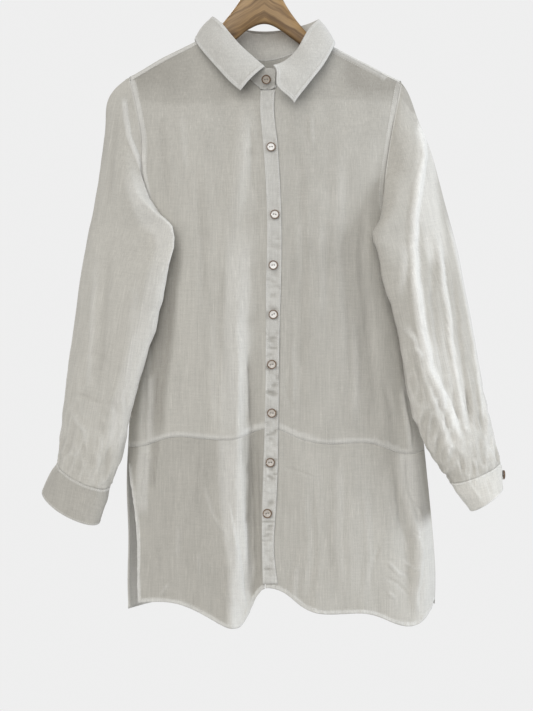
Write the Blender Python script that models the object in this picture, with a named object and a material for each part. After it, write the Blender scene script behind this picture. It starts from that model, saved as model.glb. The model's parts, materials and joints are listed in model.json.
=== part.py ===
# A linen tunic top, buttoned through, hanging on a wooden hanger.
# The origin is the inside top of the hanger's hook. +X is the right of the picture,
# which is the wearer's left, -Y is the front and +Z is up.
# Sizes and tables are in millimetres, and MM turns them into metres when a mesh is made.
# "right" and "left" in the names of pieces are the wearer's.

import math

import bmesh
import bpy
import numpy as np

MM = 0.001

# Cloth and seams
WALL = 1.2
BAND_WALL = 1.6
SEAM_GAP = 0.3
LAY_GAP = 0.45
CLEAR = 4.0
CLEAR_SIDE = 8.0
CLEAR_CORE = 56.0
CLEAR_TOP = -385.0
UNDERARM_ROLL = 12.0
UNDERARM_ROLL_AT = -412.0
UNDERARM_ROLL_HALF = 60.0
CLEAR_START = -340.0
CLEAR_FULL = -405.0
CLEAR_TOP_WIDTH = 170.0
CLEAR_SLOPE = 0.45

# Body form
SIDE_POWER = 2.3
TOP_REACH = 180.0
NECK_POINT_RIGHT = -75.0
NECK_POINT_LEFT = 77.0
SHOULDER_RIGHT = -188.0
SHOULDER_LEFT = 189.0
ROLL_RIGHT = 7.0
ROLL_LEFT = 3.5
YOKE_SEAM = -244.0
UNDERARM = -430.0

# Rows and columns of the meshes
ARM_ROWS = 8
YOKE_ROWS = (0.0, 0.12, 0.24, 0.35, 0.52, 0.76, 1.0)
YOKE_CREST = 0.24
YOKE_SHOULDER_COLUMNS = 7
YOKE_NECK_COLUMNS = 16
NECK_STRETCH = 6.0
BACK_ARM_ROWS = 7
SIDE_ROWS = 8
HIP_ROWS = 7
NECK_SHARES = {
    "right": [0.0, 0.08, 0.2, 0.34, 0.5, 0.66, 0.83, 1.0],
    "left": [0.0, 0.1, 0.26, 0.44, 0.62, 0.8, 1.0],
}
SHOULDER_SHARES = {
    "right": [0.18, 0.38, 0.58, 0.75, 0.89, 1.0],
    "left": [0.16, 0.34, 0.52, 0.68, 0.8, 0.9, 1.0],
}
HIP_SHARES = {
    "right": [0.0, 0.03, 0.08, 0.13, 0.18, 0.23, 0.29, 0.37, 0.46, 0.56, 0.67, 0.78, 0.89, 1.0],
    "left": [0.0, 0.04, 0.12, 0.2, 0.29, 0.38, 0.48, 0.58, 0.67, 0.75, 0.82, 0.88, 0.94, 1.0],
}
BACK_COLUMNS = 18
SLEEVE_RINGS = 19
CAP_RINGS = 9
CAP_EASES = 1

# Hanger
WOOD_GAP = 1.6
WIRE = 2.0
HOOK_RADIUS = 19.0
WOOD_TOP = -70.05

# Buttons
BUTTON_RADIUS = 6.3
BUTTON_THICK = 2.4
RIM_WIDTH = 1.3


class Table:
    """A short table with named columns, read along its first column by a smooth curve."""

    def __init__(self, columns, rows):
        self.columns = columns.split()
        data = np.array(rows, float)
        if data[0, 0] > data[-1, 0]:
            data = data[::-1]
        self.keys = data[:, 0]
        self.data = data
        self.slopes = np.gradient(data, self.keys, axis=0)

    def at(self, key, name):
        column = self.columns.index(name)
        index = int(np.clip(np.searchsorted(self.keys, key) - 1, 0, len(self.keys) - 2))
        span = self.keys[index + 1] - self.keys[index]
        t = min(max((key - self.keys[index]) / span, 0.0), 1.0)
        start, end = self.data[index, column], self.data[index + 1, column]
        go, come = self.slopes[index, column] * span, self.slopes[index + 1, column] * span
        return ((2 * t**3 - 3 * t**2 + 1) * start + (t**3 - 2 * t**2 + t) * go
                + (3 * t**2 - 2 * t**3) * end + (t**3 - t**2) * come)


# Half widths to each side and half depths to front and back, down the body
BODY = Table("z right left front back", [
    (-120, 215, 215, 24, 22),
    (-180, 215, 215, 27, 26),
    (-214, 213, 213, 30, 28),
    (-246, 205, 206, 33, 31),
    (-283, 190, 193, 38, 34),
    (-327, 180, 184, 42, 37),
    (-385, 174, 178, 45, 40),
    (-430, 176, 180, 47, 42),
    (-520, 180, 188, 48, 43),
    (-610, 182, 203, 49, 44),
    (-700, 186, 217, 50, 44),
    (-765, 189, 224, 51, 45),
    (-850, 186, 232, 52, 46),
    (-908, 188, 235, 54, 47),
    (-970, 184, 230, 55, 48),
])

# Shoulder line, which continues up inside the neck
RIDGE = Table("x z", [
    (-200, -221), (-188, -214), (-170, -204), (-143, -188), (-116, -174), (-94, -163), (-81, -157),
    (-50, -143), (0, -128), (50, -147), (83, -165), (95, -171), (117, -182), (145, -197),
    (172, -211), (189, -219), (200, -225),
])

# Front and back neck seam
NECK_FRONT = Table("x z", [
    (-75, -157), (-70, -163), (-60, -177), (-42, -198), (-20, -219), (-1, -235),
    (9, -236), (25, -223), (45, -204), (62, -184), (71, -169), (77, -163),
])
NECK_BACK = Table("x z", [
    (-75, -154.5), (-70, -159.5), (-57, -168), (-30, -176.5), (0, -180), (31, -177.5),
    (58, -171), (72, -165), (77, -162),
])

# Armholes, from the shoulder down to the underarm, as seen from the front and from the back
ARM_FRONT_RIGHT = [
    (-184, -218.7), (-180, -230), (-176, -248), (-169, -283), (-163, -327), (-158, -355),
    (-156, -385), (-160, -411), (-167, -424), (-176, -430),
]
ARM_FRONT_LEFT = [
    (187, -221.3), (184, -237), (180, -258), (174, -288), (168, -322), (164, -350),
    (162, -382), (166, -410), (172, -424), (180, -430),
]
ARM_BACK_RIGHT = [
    (-181, -244), (-174, -283), (-169, -327), (-166, -355), (-165, -385), (-168, -411),
    (-171, -424), (-176, -430),
]
ARM_BACK_LEFT = [
    (183, -244), (178, -288), (173, -322), (170, -350), (169, -382), (171, -410),
    (175, -424), (180, -430),
]

# Hip seam and hem of each front
HIP_RIGHT = Table("x z", [
    (-190, -719), (-170, -719), (-152, -716), (-140, -706), (-120, -703), (-86, -706), (-53, -708),
    (-39, -706), (-26, -702), (-12, -696), (6, -691),
])
HIP_LEFT = Table("x z", [
    (0, -691), (20, -692), (37, -702), (61, -710), (88, -714), (115, -712), (145, -712),
    (162, -718), (184, -727), (205, -727), (222, -723),
])
HEM_RIGHT = Table("x z", [
    (-190, -931), (-170, -929), (-150, -926), (-113, -927), (-86, -939), (-59, -953), (-40, -958),
    (-27, -953), (-18, -934), (-8, -911), (4, -905),
])
HEM_LEFT = Table("x z", [
    (0, -905), (14, -905), (28, -910), (44, -927), (68, -939), (95, -941), (142, -940),
    (162, -948), (182, -958), (202, -960), (216, -955), (226, -942), (233, -931),
])
BACK_HEM = Table("x z", [
    (-188, -941), (-150, -935), (-90, -921), (0, -912), (90, -917), (150, -925), (235, -934),
])

# Side edge of the two lower fronts: the right one opens at the slit
SLIT_EDGE = Table("z right left", [
    (-719, 1.0, 1.0),
    (-745, 0.985, 1.0),
    (-790, 0.945, 1.0),
    (-860, 0.925, 1.0),
    (-930, 0.915, 1.0),
    (-960, 0.915, 1.0),
])

# Placket band edges and the layer below it
BAND = Table("z left_edge right_edge", [
    (-236, -5, 14), (-266, -6, 12), (-293, -3, 16), (-346, 1, 20), (-426, 4, 23), (-507, 2, 22),
    (-573, 2, 20), (-672, 1, 19), (-767, -2, 17), (-807, -3, 15), (-851, -3, 12), (-899, -2, 18),
])
BAND_OVERLAP = 3.0
BAND_END = -899.0
BUTTONS = [
    (9, -314), (14, -405), (12, -473), (12, -539), (10, -606), (10, -671), (8, -737), (4, -805),
]

# Folds of the fronts and the back. Each runs from top to end, is pushed out by height at its
# middle (a trough has a negative height) and has the half width given, with its middle at
# x_top, x_mid and x_end.
FOLD_COLUMNS = "side top end x_top x_mid x_end half height"
FOLDS = [
    (-1, -250, -470, -26, -33, -42, 20, 4),
    (-1, -440, -960, -40, -37, -46, 21, 15),
    (-1, -560, -950, -15, -15, -13, 11, -9),
    (-1, -560, -900, -72, -70, -84, 18, -6),
    (-1, -430, -760, -112, -136, -148, 13, -8),
    (-1, -540, -820, -140, -160, -163, 12, 6),
    (-1, -740, -940, -88, -72, -60, 11, 6),
    (-1, -800, -950, -128, -122, -116, 16, 5),
    (-1, -300, -700, 60, 66, 84, 22, 4),
    (-1, -470, -800, 128, 140, 150, 16, -4),
    (-1, -640, -950, 178, 189, 202, 10, -8),
    (-1, -640, -960, 198, 212, 219, 12, 7),
    (-1, -720, -950, 52, 60, 64, 16, 6),
    (-1, -780, -950, 108, 118, 128, 16, 6),
    (1, -260, -930, -60, -72, -84, 20, 9),
    (1, -330, -940, 0, -8, 4, 18, -8),
    (1, -300, -940, 62, 80, 92, 22, 10),
    (1, -440, -940, 128, 146, 160, 16, -7),
    (1, -440, -940, -130, -134, -140, 14, -7),
]

# Stations along the neck seam from the buttoned tab round the back to the other front end.
# seam is the side of the body that the seam runs on, roll the fold of the collar, edge the
# outer edge of its leaf.
COLLAR = Table("s seam_x roll_x roll_y roll_z edge_x edge_y edge_z", [
    (0.0, -1, 1, -38, -207, -32, -50, -239),
    (1.0, -20, -12, -35, -195, -46, -47, -227),
    (2.0, -42, -31, -30, -177, -60, -42, -211),
    (3.0, -60, -46, -23, -158, -79, -31, -188),
    (4.0, -70, -57, -14, -143, -91, -19, -171),
    (5.0, -75, -67, -4, -133, -95, -3, -160),
    (6.0, -71, -69, 7, -131, -92, 19, -170),
    (7.0, -57, -56, 19, -136, -73, 35, -184),
    (8.0, -30, -30, 25, -143, -38, 40, -192),
    (9.0, 0, 0, 27, -146, 0, 42, -195),
    (10.0, 31, 33, 25, -143, 38, 40, -193),
    (11.0, 58, 60, 18, -137, 74, 35, -187),
    (12.0, 73, 73, 6, -133, 93, 19, -172),
    (13.0, 77, 69, -5, -139, 97, -4, -166),
    (14.0, 71, 57, -14, -154, 93, -19, -177),
    (15.0, 62, 49, -23, -171, 81, -32, -200),
    (16.0, 45, 38, -29, -188, 68, -41, -218),
    (17.0, 25, 24, -36, -200, 53, -48, -238),
    (18.0, 9, 11, -43, -206, 40, -52, -256),
])
LEAF_RISE = 1.7
LEAF_BULGE = 3.5
STAND_WALL = 1.6
COLLAR_WALL = 2.0
TAB_REACH = 15.0

# Sleeves below the armhole: outer and inner edge of each ring, its depth to front and back,
# and how far its front hangs lower than its edges
SLEEVE_RIGHT = Table("ring ox oy oz ix iy iz front back drop", [
    (1, -197, 0, -219, -180, -8, -434, 24, 23, 0),
    (2, -205, 1, -228, -178, -16, -435, 22, 24, 0),
    (3, -212, 2, -244, -173, -26, -441, 20, 25, 0),
    (4, -217, 3, -268, -162, -36, -457, 20, 24, 0),
    (5, -221, 4, -298, -148, -44, -473, 21, 24, 0),
    (6, -226, 5, -334, -136, -49, -486, 21, 24, 0),
    (7, -232, 6, -374, -128, -51, -498, 21, 24, 0),
    (8, -238, 7, -410, -124, -52, -510, 20, 25, 0),
    (9, -245, 8, -445, -127, -52, -524, 20, 25, 0),
    (10, -252, 8, -480, -137, -51, -537, 20, 24, 0),
    (11, -257, 8, -516, -147, -50, -568, 20, 24, 0),
    (12, -262, 7, -554, -157, -49, -601, 20, 23, 0),
    (13, -267, 5, -592, -166, -47, -634, 20, 22, 1),
    (14, -271, 3, -630, -175, -45, -667, 20, 22, 2),
    (15, -275, 1, -668, -182, -43, -698, 20, 21, 3),
    (16, -279, -1, -699, -188, -42, -726, 21, 21, 5),
    (17, -281, -3, -721, -198, -41, -750, 22, 21, 8),
    (18, -282, -4, -738, -208, -39, -773, 23, 21, 11),
])
SLEEVE_LEFT = Table("ring ox oy oz ix iy iz front back drop", [
    (1, 197, 0, -225, 184, -8, -434, 24, 26, 0),
    (2, 204, 1, -236, 182, -16, -435, 22, 27, 0),
    (3, 211, 2, -252, 178, -26, -441, 20, 25, 0),
    (4, 219, 3, -276, 170, -36, -456, 20, 24, 0),
    (5, 228, 4, -306, 161, -44, -471, 21, 24, 0),
    (6, 237, 5, -340, 153, -49, -483, 21, 24, 0),
    (7, 246, 6, -374, 150, -51, -494, 21, 24, 0),
    (8, 255, 7, -406, 151, -52, -505, 20, 25, 0),
    (9, 263, 8, -439, 156, -52, -518, 20, 25, 0),
    (10, 270, 8, -473, 165, -52, -526, 20, 24, 0),
    (11, 277, 8, -510, 176, -51, -555, 20, 24, 0),
    (12, 284, 7, -548, 186, -51, -586, 20, 23, 0),
    (13, 291, 5, -586, 194, -50, -617, 20, 22, 1),
    (14, 298, 3, -624, 201, -49, -650, 20, 22, 2),
    (15, 305, 1, -660, 208, -48, -683, 20, 21, 3),
    (16, 311, -1, -690, 215, -47, -712, 21, 21, 4),
    (17, 316, -3, -715, 231, -45, -742, 22, 21, 5),
    (18, 321, -4, -738, 250, -43, -766, 22, 21, 6),
])
# How far the front and the back of the first rings bow towards the body, as a sleeve cap does
CAP_BOW = Table("ring bow", [
    (0, 19), (1, 19), (2, 17), (3, 13), (4, 8), (5, 4), (6, 1.5), (7, 0), (8, 0), (19, 0),
])
# Folds along the sleeves: where round the tube, as a share of a turn from the inner edge by
# the front, with half width as a share too
SLEEVE_FOLD_COLUMNS = "sleeve top end turn_top turn_end half height"
SLEEVE_FOLDS = [
    ("right", 3, 10, 0.37, 0.30, 0.055, -5),
    ("right", 6, 17, 0.22, 0.20, 0.05, 4),
    ("right", 9, 18, 0.12, 0.10, 0.045, -4),
    ("right", 4, 16, 0.66, 0.62, 0.06, -5),
    ("right", 8, 18, 0.80, 0.78, 0.05, 4),
    ("left", 4, 16, 0.20, 0.16, 0.05, 5),
    ("left", 5, 17, 0.29, 0.25, 0.04, -5),
    ("left", 6, 18, 0.375, 0.335, 0.045, 4),
    ("left", 4, 17, 0.44, 0.41, 0.035, -4),
    ("left", 4, 16, 0.66, 0.62, 0.06, -5),
    ("left", 8, 18, 0.80, 0.78, 0.05, 4),
]

# Cuffs: upper and lower ring, as the sleeve's rings are given
CUFF_RIGHT = Table("ring ox oy oz ix iy iz front back drop", [
    (0, -284, -4, -739, -207, -39, -775, 22, 20, 12),
    (1, -302, 2, -779, -223, -32, -820, 22, 20, 13),
])
CUFF_LEFT = Table("ring ox oy oz ix iy iz front back drop", [
    (0, 321.5, -4, -739, 249.5, -42.6, -767, 21, 19, 6),
    (1, 319, 2, -776, 283, -34, -803, 24, 22, 4),
])
CUFF_WALL = 1.8
CUFF_RISE = 3.2
CUFF_TURN_COLUMNS = 24
CUFF_LAP_COLUMNS = 2
CUFF_ROWS = 3
CUFF_BUTTON_GAP = 0.5
CUFF_LAP_START = {"right": 0.65, "left": 0.41}


def plain_material(name, colour, roughness, metallic=0.0):
    material = bpy.data.materials.new(name)
    material.use_nodes = True
    shader = material.node_tree.nodes["Principled BSDF"]
    shader.inputs["Base Color"].default_value = (*colour, 1.0)
    shader.inputs["Roughness"].default_value = roughness
    shader.inputs["Metallic"].default_value = metallic
    return material


def add_mesh(name, points, faces, material, smooth=True):
    mesh = bpy.data.meshes.new(name)
    mesh.from_pydata([tuple(MM * c for c in p) for p in points], [], faces)
    body = bmesh.new()
    body.from_mesh(mesh)
    bmesh.ops.recalc_face_normals(body, faces=body.faces)
    body.to_mesh(mesh)
    body.free()
    mesh.materials.append(material)
    if smooth:
        mesh.shade_smooth()
        mesh.set_sharp_from_angle(angle=math.radians(40))
    piece = bpy.data.objects.new(name, mesh)
    bpy.context.scene.collection.objects.link(piece)
    return piece


def normals_of(grid, closed):
    """Unit normals of a grid of points, rows by columns, whose columns may close on themselves."""
    if closed:
        across = np.roll(grid, -1, axis=1) - np.roll(grid, 1, axis=1)
    else:
        across = np.gradient(grid, axis=1)
    down = np.gradient(grid, axis=0)
    normal = np.cross(across, down)
    return normal / np.maximum(np.linalg.norm(normal, axis=2, keepdims=True), 1e-9)


def halves(grid, row, column):
    """A cell of a grid as two triangles, cut along its shorter diagonal."""
    columns = grid.shape[1]
    ring = [(row, column), (row, column + 1), (row + 1, column + 1), (row + 1, column)]
    spots = [grid[at[0], at[1] % columns] for at in ring]
    falling = np.linalg.norm(spots[0] - spots[2])
    rising = np.linalg.norm(spots[1] - spots[3])
    if falling <= rising:
        return [ring[0], ring[1], ring[2]], [ring[0], ring[2], ring[3]]
    return [ring[0], ring[1], ring[3]], [ring[1], ring[2], ring[3]]


def add_wall(name, grid, thick, material, closed=False, inward=1.0):
    """A closed wall: the grid is its outer face, and inward is the side of the normal that
    the thickness goes to. At a side seam the wall's edge is square to the seam."""
    grid = np.array(grid, float)
    rows, columns = grid.shape[:2]
    normal = normals_of(grid, closed)
    if not closed:
        for column in (0, columns - 1):
            for row in range(rows):
                if abs(grid[row, column, 1]) < 2.0 and abs(normal[row, column, 0]) > 0.3:
                    normal[row, column, 1] = 0.0
    inner = grid + normal * thick * inward
    points = np.concatenate([grid.reshape(-1, 3), inner.reshape(-1, 3)])
    last = columns if closed else columns - 1
    size = rows * columns

    def corner(row, column, layer):
        return layer * size + row * columns + column % columns

    faces = []
    for row in range(rows - 1):
        for column in range(last):
            for triangle in halves(grid, row, column):
                faces.append([corner(*at, 0) for at in triangle])
                faces.append([corner(*at, 1) for at in reversed(triangle)])
    for column in range(last):
        for row in (0, rows - 1):
            faces.append([corner(row, column, 0), corner(row, column + 1, 0),
                          corner(row, column + 1, 1), corner(row, column, 1)])
    if not closed:
        for row in range(rows - 1):
            for column in (0, columns - 1):
                faces.append([corner(row, column, 0), corner(row + 1, column, 0),
                              corner(row + 1, column, 1), corner(row, column, 1)])
    return add_mesh(name, points, faces, material)


def draw_in(grid, gap, edges):
    """Moves the named edges of a grid towards its inside, which leaves the seam's gap."""
    grid = np.array(grid, float)
    steps = {"top": ((0, slice(None)), (1, slice(None))),
             "bottom": ((-1, slice(None)), (-2, slice(None))),
             "first": ((slice(None), 0), (slice(None), 1)),
             "last": ((slice(None), -1), (slice(None), -2))}
    for edge in edges:
        at, inside = steps[edge]
        step = grid[inside] - grid[at]
        grid[at] = grid[at] + step / np.linalg.norm(step, axis=1, keepdims=True) * gap
    return grid


def bump(distance, half):
    return 0.5 + 0.5 * math.cos(math.pi * min(abs(distance) / half, 1.0))


def fade(z, top, end):
    """0 at both ends of a fold and 1 along its middle, and it runs out through a hem."""
    reach = (top - end) * 0.3
    out = 1.0 if end <= -930 else min(max((z - end) / reach, 0.0), 1.0)
    return min(max((top - z) / reach, 0.0), 1.0) * out


def fold_push(side, x, z):
    push = 0.0
    for fold_side, top, end, x_top, x_mid, x_end, half, height in FOLDS:
        if fold_side != side or not end < z < top:
            continue
        t = (top - z) / (top - end)
        if t < 0.5:
            middle = x_top + (x_mid - x_top) * 2 * t
        else:
            middle = x_mid + (x_end - x_mid) * (2 * t - 1)
        push += height * fade(z, top, end) * bump(x - middle, half)
    return push


def half_width(x, z):
    return BODY.at(z, "left" if x > 0 else "right")


def side_share(x, z):
    ratio = min(abs(x) / half_width(x, z), 1.0)
    return (1.0 - ratio**SIDE_POWER) ** (1.0 / SIDE_POWER)


def top_share(below):
    t = 1.0 - min(max(below, 0.0) / TOP_REACH, 1.0)
    return math.sqrt(1.0 - t * t)


def body_depth(side, x, z):
    depth = BODY.at(z, "front" if side < 0 else "back")
    share = side_share(x, z)
    push = fold_push(side, x, z) * min(1.0, 1.6 * share)
    return (depth * share + push) * top_share(RIDGE.at(x, "z") - z)


def body_point(side, x, z):
    return np.array([x, side * body_depth(side, x, z), z])


def ridge_point(x, over):
    """A point by how far it lies over the shoulder line: over squared is the drop below the
    line, to the front where over is negative and to the back where it is positive."""
    z = RIDGE.at(x, "z") - over * over
    return body_point(-1 if over < 0 else 1, x, z)


def resample(points, count):
    """count + 1 points at even steps along a smooth curve through the points, or one point
    for each share of the curve's length where count is a list of shares."""
    shares = np.linspace(0.0, 1.0, count + 1) if isinstance(count, int) else np.array(count)
    points = np.array(points, float)
    steps = np.linalg.norm(np.diff(points, axis=0), axis=1)
    length = np.concatenate([[0.0], np.cumsum(steps)])
    rows = [(s, *p) for s, p in zip(length, points)]
    names = "s " + " ".join(f"c{i}" for i in range(points.shape[1]))
    path = Table(names, rows)
    return np.array([[path.at(s, f"c{i}") for i in range(points.shape[1])]
                     for s in shares * length[-1]])


def coons(top, bottom, first, last):
    """A patch between four edges: top and bottom run across, first and last run down."""
    rows, columns = len(first), len(top)
    t = np.linspace(0.0, 1.0, rows)[:, None, None]
    s = np.linspace(0.0, 1.0, columns)[None, :, None]
    ruled = (1 - t) * top[None] + t * bottom[None] + (1 - s) * first[:, None] + s * last[:, None]
    corners = ((1 - t) * (1 - s) * top[0] + (1 - t) * s * top[-1]
               + t * (1 - s) * bottom[0] + t * s * bottom[-1])
    return ruled - corners


def to_turn(points):
    """Points given as x and z, with x as the angle round the body's section."""
    turned = []
    for x, z in points:
        ratio = min(max(abs(x) / half_width(x, z), 0.0), 1.0)
        turned.append((math.copysign(math.asin(ratio), x), z))
    return np.array(turned)


def panel(side, top, bottom, first, last):
    """A panel of the body between four edges given as x and z."""
    patch = coons(*(to_turn(edge) for edge in (top, bottom, first, last)))
    grid = np.empty((*patch.shape[:2], 3))
    for row in range(patch.shape[0]):
        for column in range(patch.shape[1]):
            angle, z = patch[row, column]
            x = half_width(angle, z) * math.sin(angle)
            grid[row, column] = body_point(side, x, z)
    return grid


def side_levels(hand):
    """Heights of the rows along the side seam, the same for the front and the back."""
    hip = -719.0 if hand == "right" else -723.0
    upper = np.linspace(UNDERARM, hip, SIDE_ROWS + 1)
    hem = -931.0 if hand == "right" else -932.0
    lower = np.linspace(hip, hem, HIP_ROWS + 1)
    return upper, lower


def side_edge(hand, levels):
    sign = -1.0 if hand == "right" else 1.0
    return np.array([(sign * half_width(sign, z), z) for z in levels])


def band_edge(z, hand):
    """Where each front ends under the placket band: they stand side by side there."""
    return BAND.at(z, "left_edge") + BAND_OVERLAP + (0.4 if hand == "left" else 0.0)


def across(line, start, end, hand):
    """Points of a seam or hem, one for each column of a front."""
    xs = start + (end - start) * np.array(HIP_SHARES[hand])
    return np.array([(x, line.at(x, "z")) for x in xs])


def front_upper_grid(hand):
    right = hand == "right"
    neck_x = NECK_POINT_RIGHT if right else NECK_POINT_LEFT
    tip_x = SHOULDER_RIGHT if right else SHOULDER_LEFT
    roll = ROLL_RIGHT if right else ROLL_LEFT
    start = band_edge(-236, hand)
    neck = [(x, NECK_FRONT.at(x, "z")) for x in np.linspace(start, neck_x, 9)]
    neck[-1] = (neck_x, RIDGE.at(neck_x, "z") - roll)
    arm = ARM_FRONT_RIGHT if right else ARM_FRONT_LEFT
    shoulder = [(x, RIDGE.at(x, "z") - roll) for x in np.linspace(neck_x, tip_x, 7)]
    shoulder[-1] = arm[0]
    neck = resample(neck, NECK_SHARES[hand])
    top = np.concatenate([neck, resample(shoulder, SHOULDER_SHARES[hand])])
    upper, _ = side_levels(hand)
    last = np.concatenate([resample(arm, ARM_ROWS), side_edge(hand, upper)[1:]])
    hip = HIP_RIGHT if right else HIP_LEFT
    end = band_edge(-691, hand)
    bottom = across(hip, end, last[-1][0], hand)
    bottom[-1] = last[-1]
    levels = np.linspace(top[0][1], bottom[0][1], len(last))
    first = np.array([(band_edge(z, hand), z) for z in levels])
    first[0], first[-1] = top[0], bottom[0]
    return panel(-1, top, bottom, first, last)


def front_lower_grid(hand):
    right = hand == "right"
    sign = -1.0 if right else 1.0
    hip = HIP_RIGHT if right else HIP_LEFT
    hem = HEM_RIGHT if right else HEM_LEFT
    _, lower = side_levels(hand)
    last = np.array([(sign * half_width(sign, z) * SLIT_EDGE.at(z, hand), z) for z in lower])
    end = band_edge(-691, hand)
    top = across(hip, end, last[0][0], hand)
    top[-1] = last[0]
    foot = band_edge(-899, hand)
    bottom = across(hem, foot, last[-1][0], hand)
    last[-1][1] = bottom[-1][1]
    levels = np.linspace(top[0][1], bottom[0][1], len(last))
    first = np.array([(band_edge(z, hand), z) for z in levels])
    first[0], first[-1] = top[0], bottom[0]
    return panel(-1, top, bottom, first, last)


def back_grid():
    sides = {}
    for hand, arm in (("right", ARM_BACK_RIGHT), ("left", ARM_BACK_LEFT)):
        upper, lower = side_levels(hand)
        edge = side_edge(hand, np.concatenate([upper[1:], lower[1:]]))
        sides[hand] = np.concatenate([resample(arm, BACK_ARM_ROWS), edge])
    xs = np.linspace(ARM_BACK_RIGHT[0][0], ARM_BACK_LEFT[0][0], BACK_COLUMNS + 1)
    top = np.array([(x, YOKE_SEAM) for x in xs])
    xs = np.linspace(sides["right"][-1][0], sides["left"][-1][0], BACK_COLUMNS + 1)
    bottom = np.array([(x, BACK_HEM.at(x, "z")) for x in xs])
    for hand, at in (("right", 0), ("left", -1)):
        sides[hand][-1][1] = bottom[at][1]
    return panel(1, top, bottom, sides["right"], sides["left"])


def yoke_columns():
    """Top ends of the yoke's columns, as x and how far over the shoulder line they lie: along
    the right shoulder seam, round the back of the neck and along the left shoulder seam."""
    tip_right, tip_left = ARM_FRONT_RIGHT[0][0], ARM_FRONT_LEFT[0][0]
    over_right, over_left = -math.sqrt(ROLL_RIGHT), -math.sqrt(ROLL_LEFT)
    count = YOKE_SHOULDER_COLUMNS
    first = [(x, over_right) for x in np.linspace(tip_right, NECK_POINT_RIGHT, count)]
    last = [(x, over_left) for x in np.linspace(NECK_POINT_LEFT, tip_left, count)]
    neck = [first[-1]]
    for x in (-75, -74, -70, -57, -44, -30, -15, 0, 15, 31, 44, 58, 72, 76, 77):
        neck.append((x, math.sqrt(max(RIDGE.at(x, "z") - NECK_BACK.at(x, "z"), 0.0))))
    neck.append(last[0])
    neck = np.array(neck)
    neck[:, 1] *= NECK_STRETCH
    neck = resample(neck, YOKE_NECK_COLUMNS)
    neck[:, 1] /= NECK_STRETCH
    return first[:-1] + [tuple(point) for point in neck] + last[1:]


def yoke_grid():
    """The yoke's outer face, from the wearer's right shoulder to the left."""
    tops = yoke_columns()
    foot = np.linspace(ARM_BACK_RIGHT[0][0], ARM_BACK_LEFT[0][0], len(tops))
    columns = []
    for (x, over), x_foot in zip(tops, foot):
        end = math.sqrt(RIDGE.at(x_foot, "z") - YOKE_SEAM)
        crest = 0.0 if over < 0 else over + YOKE_CREST * (end - over)
        column = []
        for share in YOKE_ROWS:
            if share < YOKE_CREST:
                here = over + (crest - over) * share / YOKE_CREST
            else:
                here = crest + (end - crest) * (share - YOKE_CREST) / (1.0 - YOKE_CREST)
            column.append(ridge_point(x + (x_foot - x) * share, here))
        columns.append(column)
    return np.transpose(np.array(columns), (1, 0, 2))


def arm_loop(hand, front, yoke, back):
    """The armhole's edge from the underarm up the front, over the yoke and down the back."""
    column = 0 if hand == "right" else -1
    up = front[:ARM_ROWS + 1, -1][::-1]
    over = yoke[:, column]
    down = back[:BACK_ARM_ROWS + 1, column]
    return np.concatenate([up, over[1:], down[1:-1]])


def ring_point(table, ring, turn, extra=0.0, bow=0.0):
    """A point of a ring, by the share of a turn from its inner edge by the front."""
    inner = np.array([table.at(ring, name) for name in ("ix", "iy", "iz")])
    outer = np.array([table.at(ring, name) for name in ("ox", "oy", "oz")])
    middle = (inner + outer) / 2
    along = (inner - outer) / 2
    axis = along / np.linalg.norm(along)
    facing = np.array([0.0, -1.0, 0.0]) + axis * axis[1]
    facing = facing / np.linalg.norm(facing)
    angle = 2 * math.pi * turn
    deep = math.sin(angle)
    depth = table.at(ring, "front" if deep > 0 else "back")
    out = along * math.cos(angle) + facing * depth * deep
    out[2] -= table.at(ring, "drop") * deep
    middle[0] -= math.copysign(bow * abs(deep), middle[0])
    return middle + out * (1.0 + extra / np.linalg.norm(out))


def sleeve_push(hand, ring, turn):
    push = 0.0
    for sleeve, top, end, turn_top, turn_end, half, height in SLEEVE_FOLDS:
        if sleeve != hand or not top < ring < end:
            continue
        t = (ring - top) / (end - top)
        middle = turn_top + (turn_end - turn_top) * t
        push += height * math.sin(math.pi * t) ** 0.7 * bump(turn - middle, half)
    return push


def clear_of_body(point, share, roll):
    """Pushes a sleeve's point out of the body's side that the sleeve hangs over. The body is
    taken a little larger than it is, by a share that grows away from the armhole, and near
    the underarm by the roll of cloth that leaves the seam there."""
    start = np.array(point)
    point = start.copy()
    z = point[2]
    kept = min(max((CLEAR_START - z) / (CLEAR_START - CLEAR_FULL), 0.0), 1.0)
    width = min(half_width(point[0], z), CLEAR_TOP_WIDTH + CLEAR_SLOPE * (CLEAR_TOP - z))
    roll = roll * bump(z - UNDERARM_ROLL_AT, UNDERARM_ROLL_HALF)
    grown = width + CLEAR_SIDE * share + roll
    core = math.copysign(width - CLEAR_CORE, point[0])
    for _ in range(60):
        x, y = point[0], point[1]
        if abs(x) >= grown:
            break
        side = -1 if y < 0 else 1
        inside = x * width / grown
        deep = body_depth(side, inside, z) + (CLEAR * share + roll) * side_share(inside, z)
        if abs(y) >= deep:
            break
        away = np.array([x - core if abs(x) > abs(core) else 0.0, y - 0.5])
        point[:2] += away / np.linalg.norm(away)
    return start + (point - start) * kept


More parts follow.
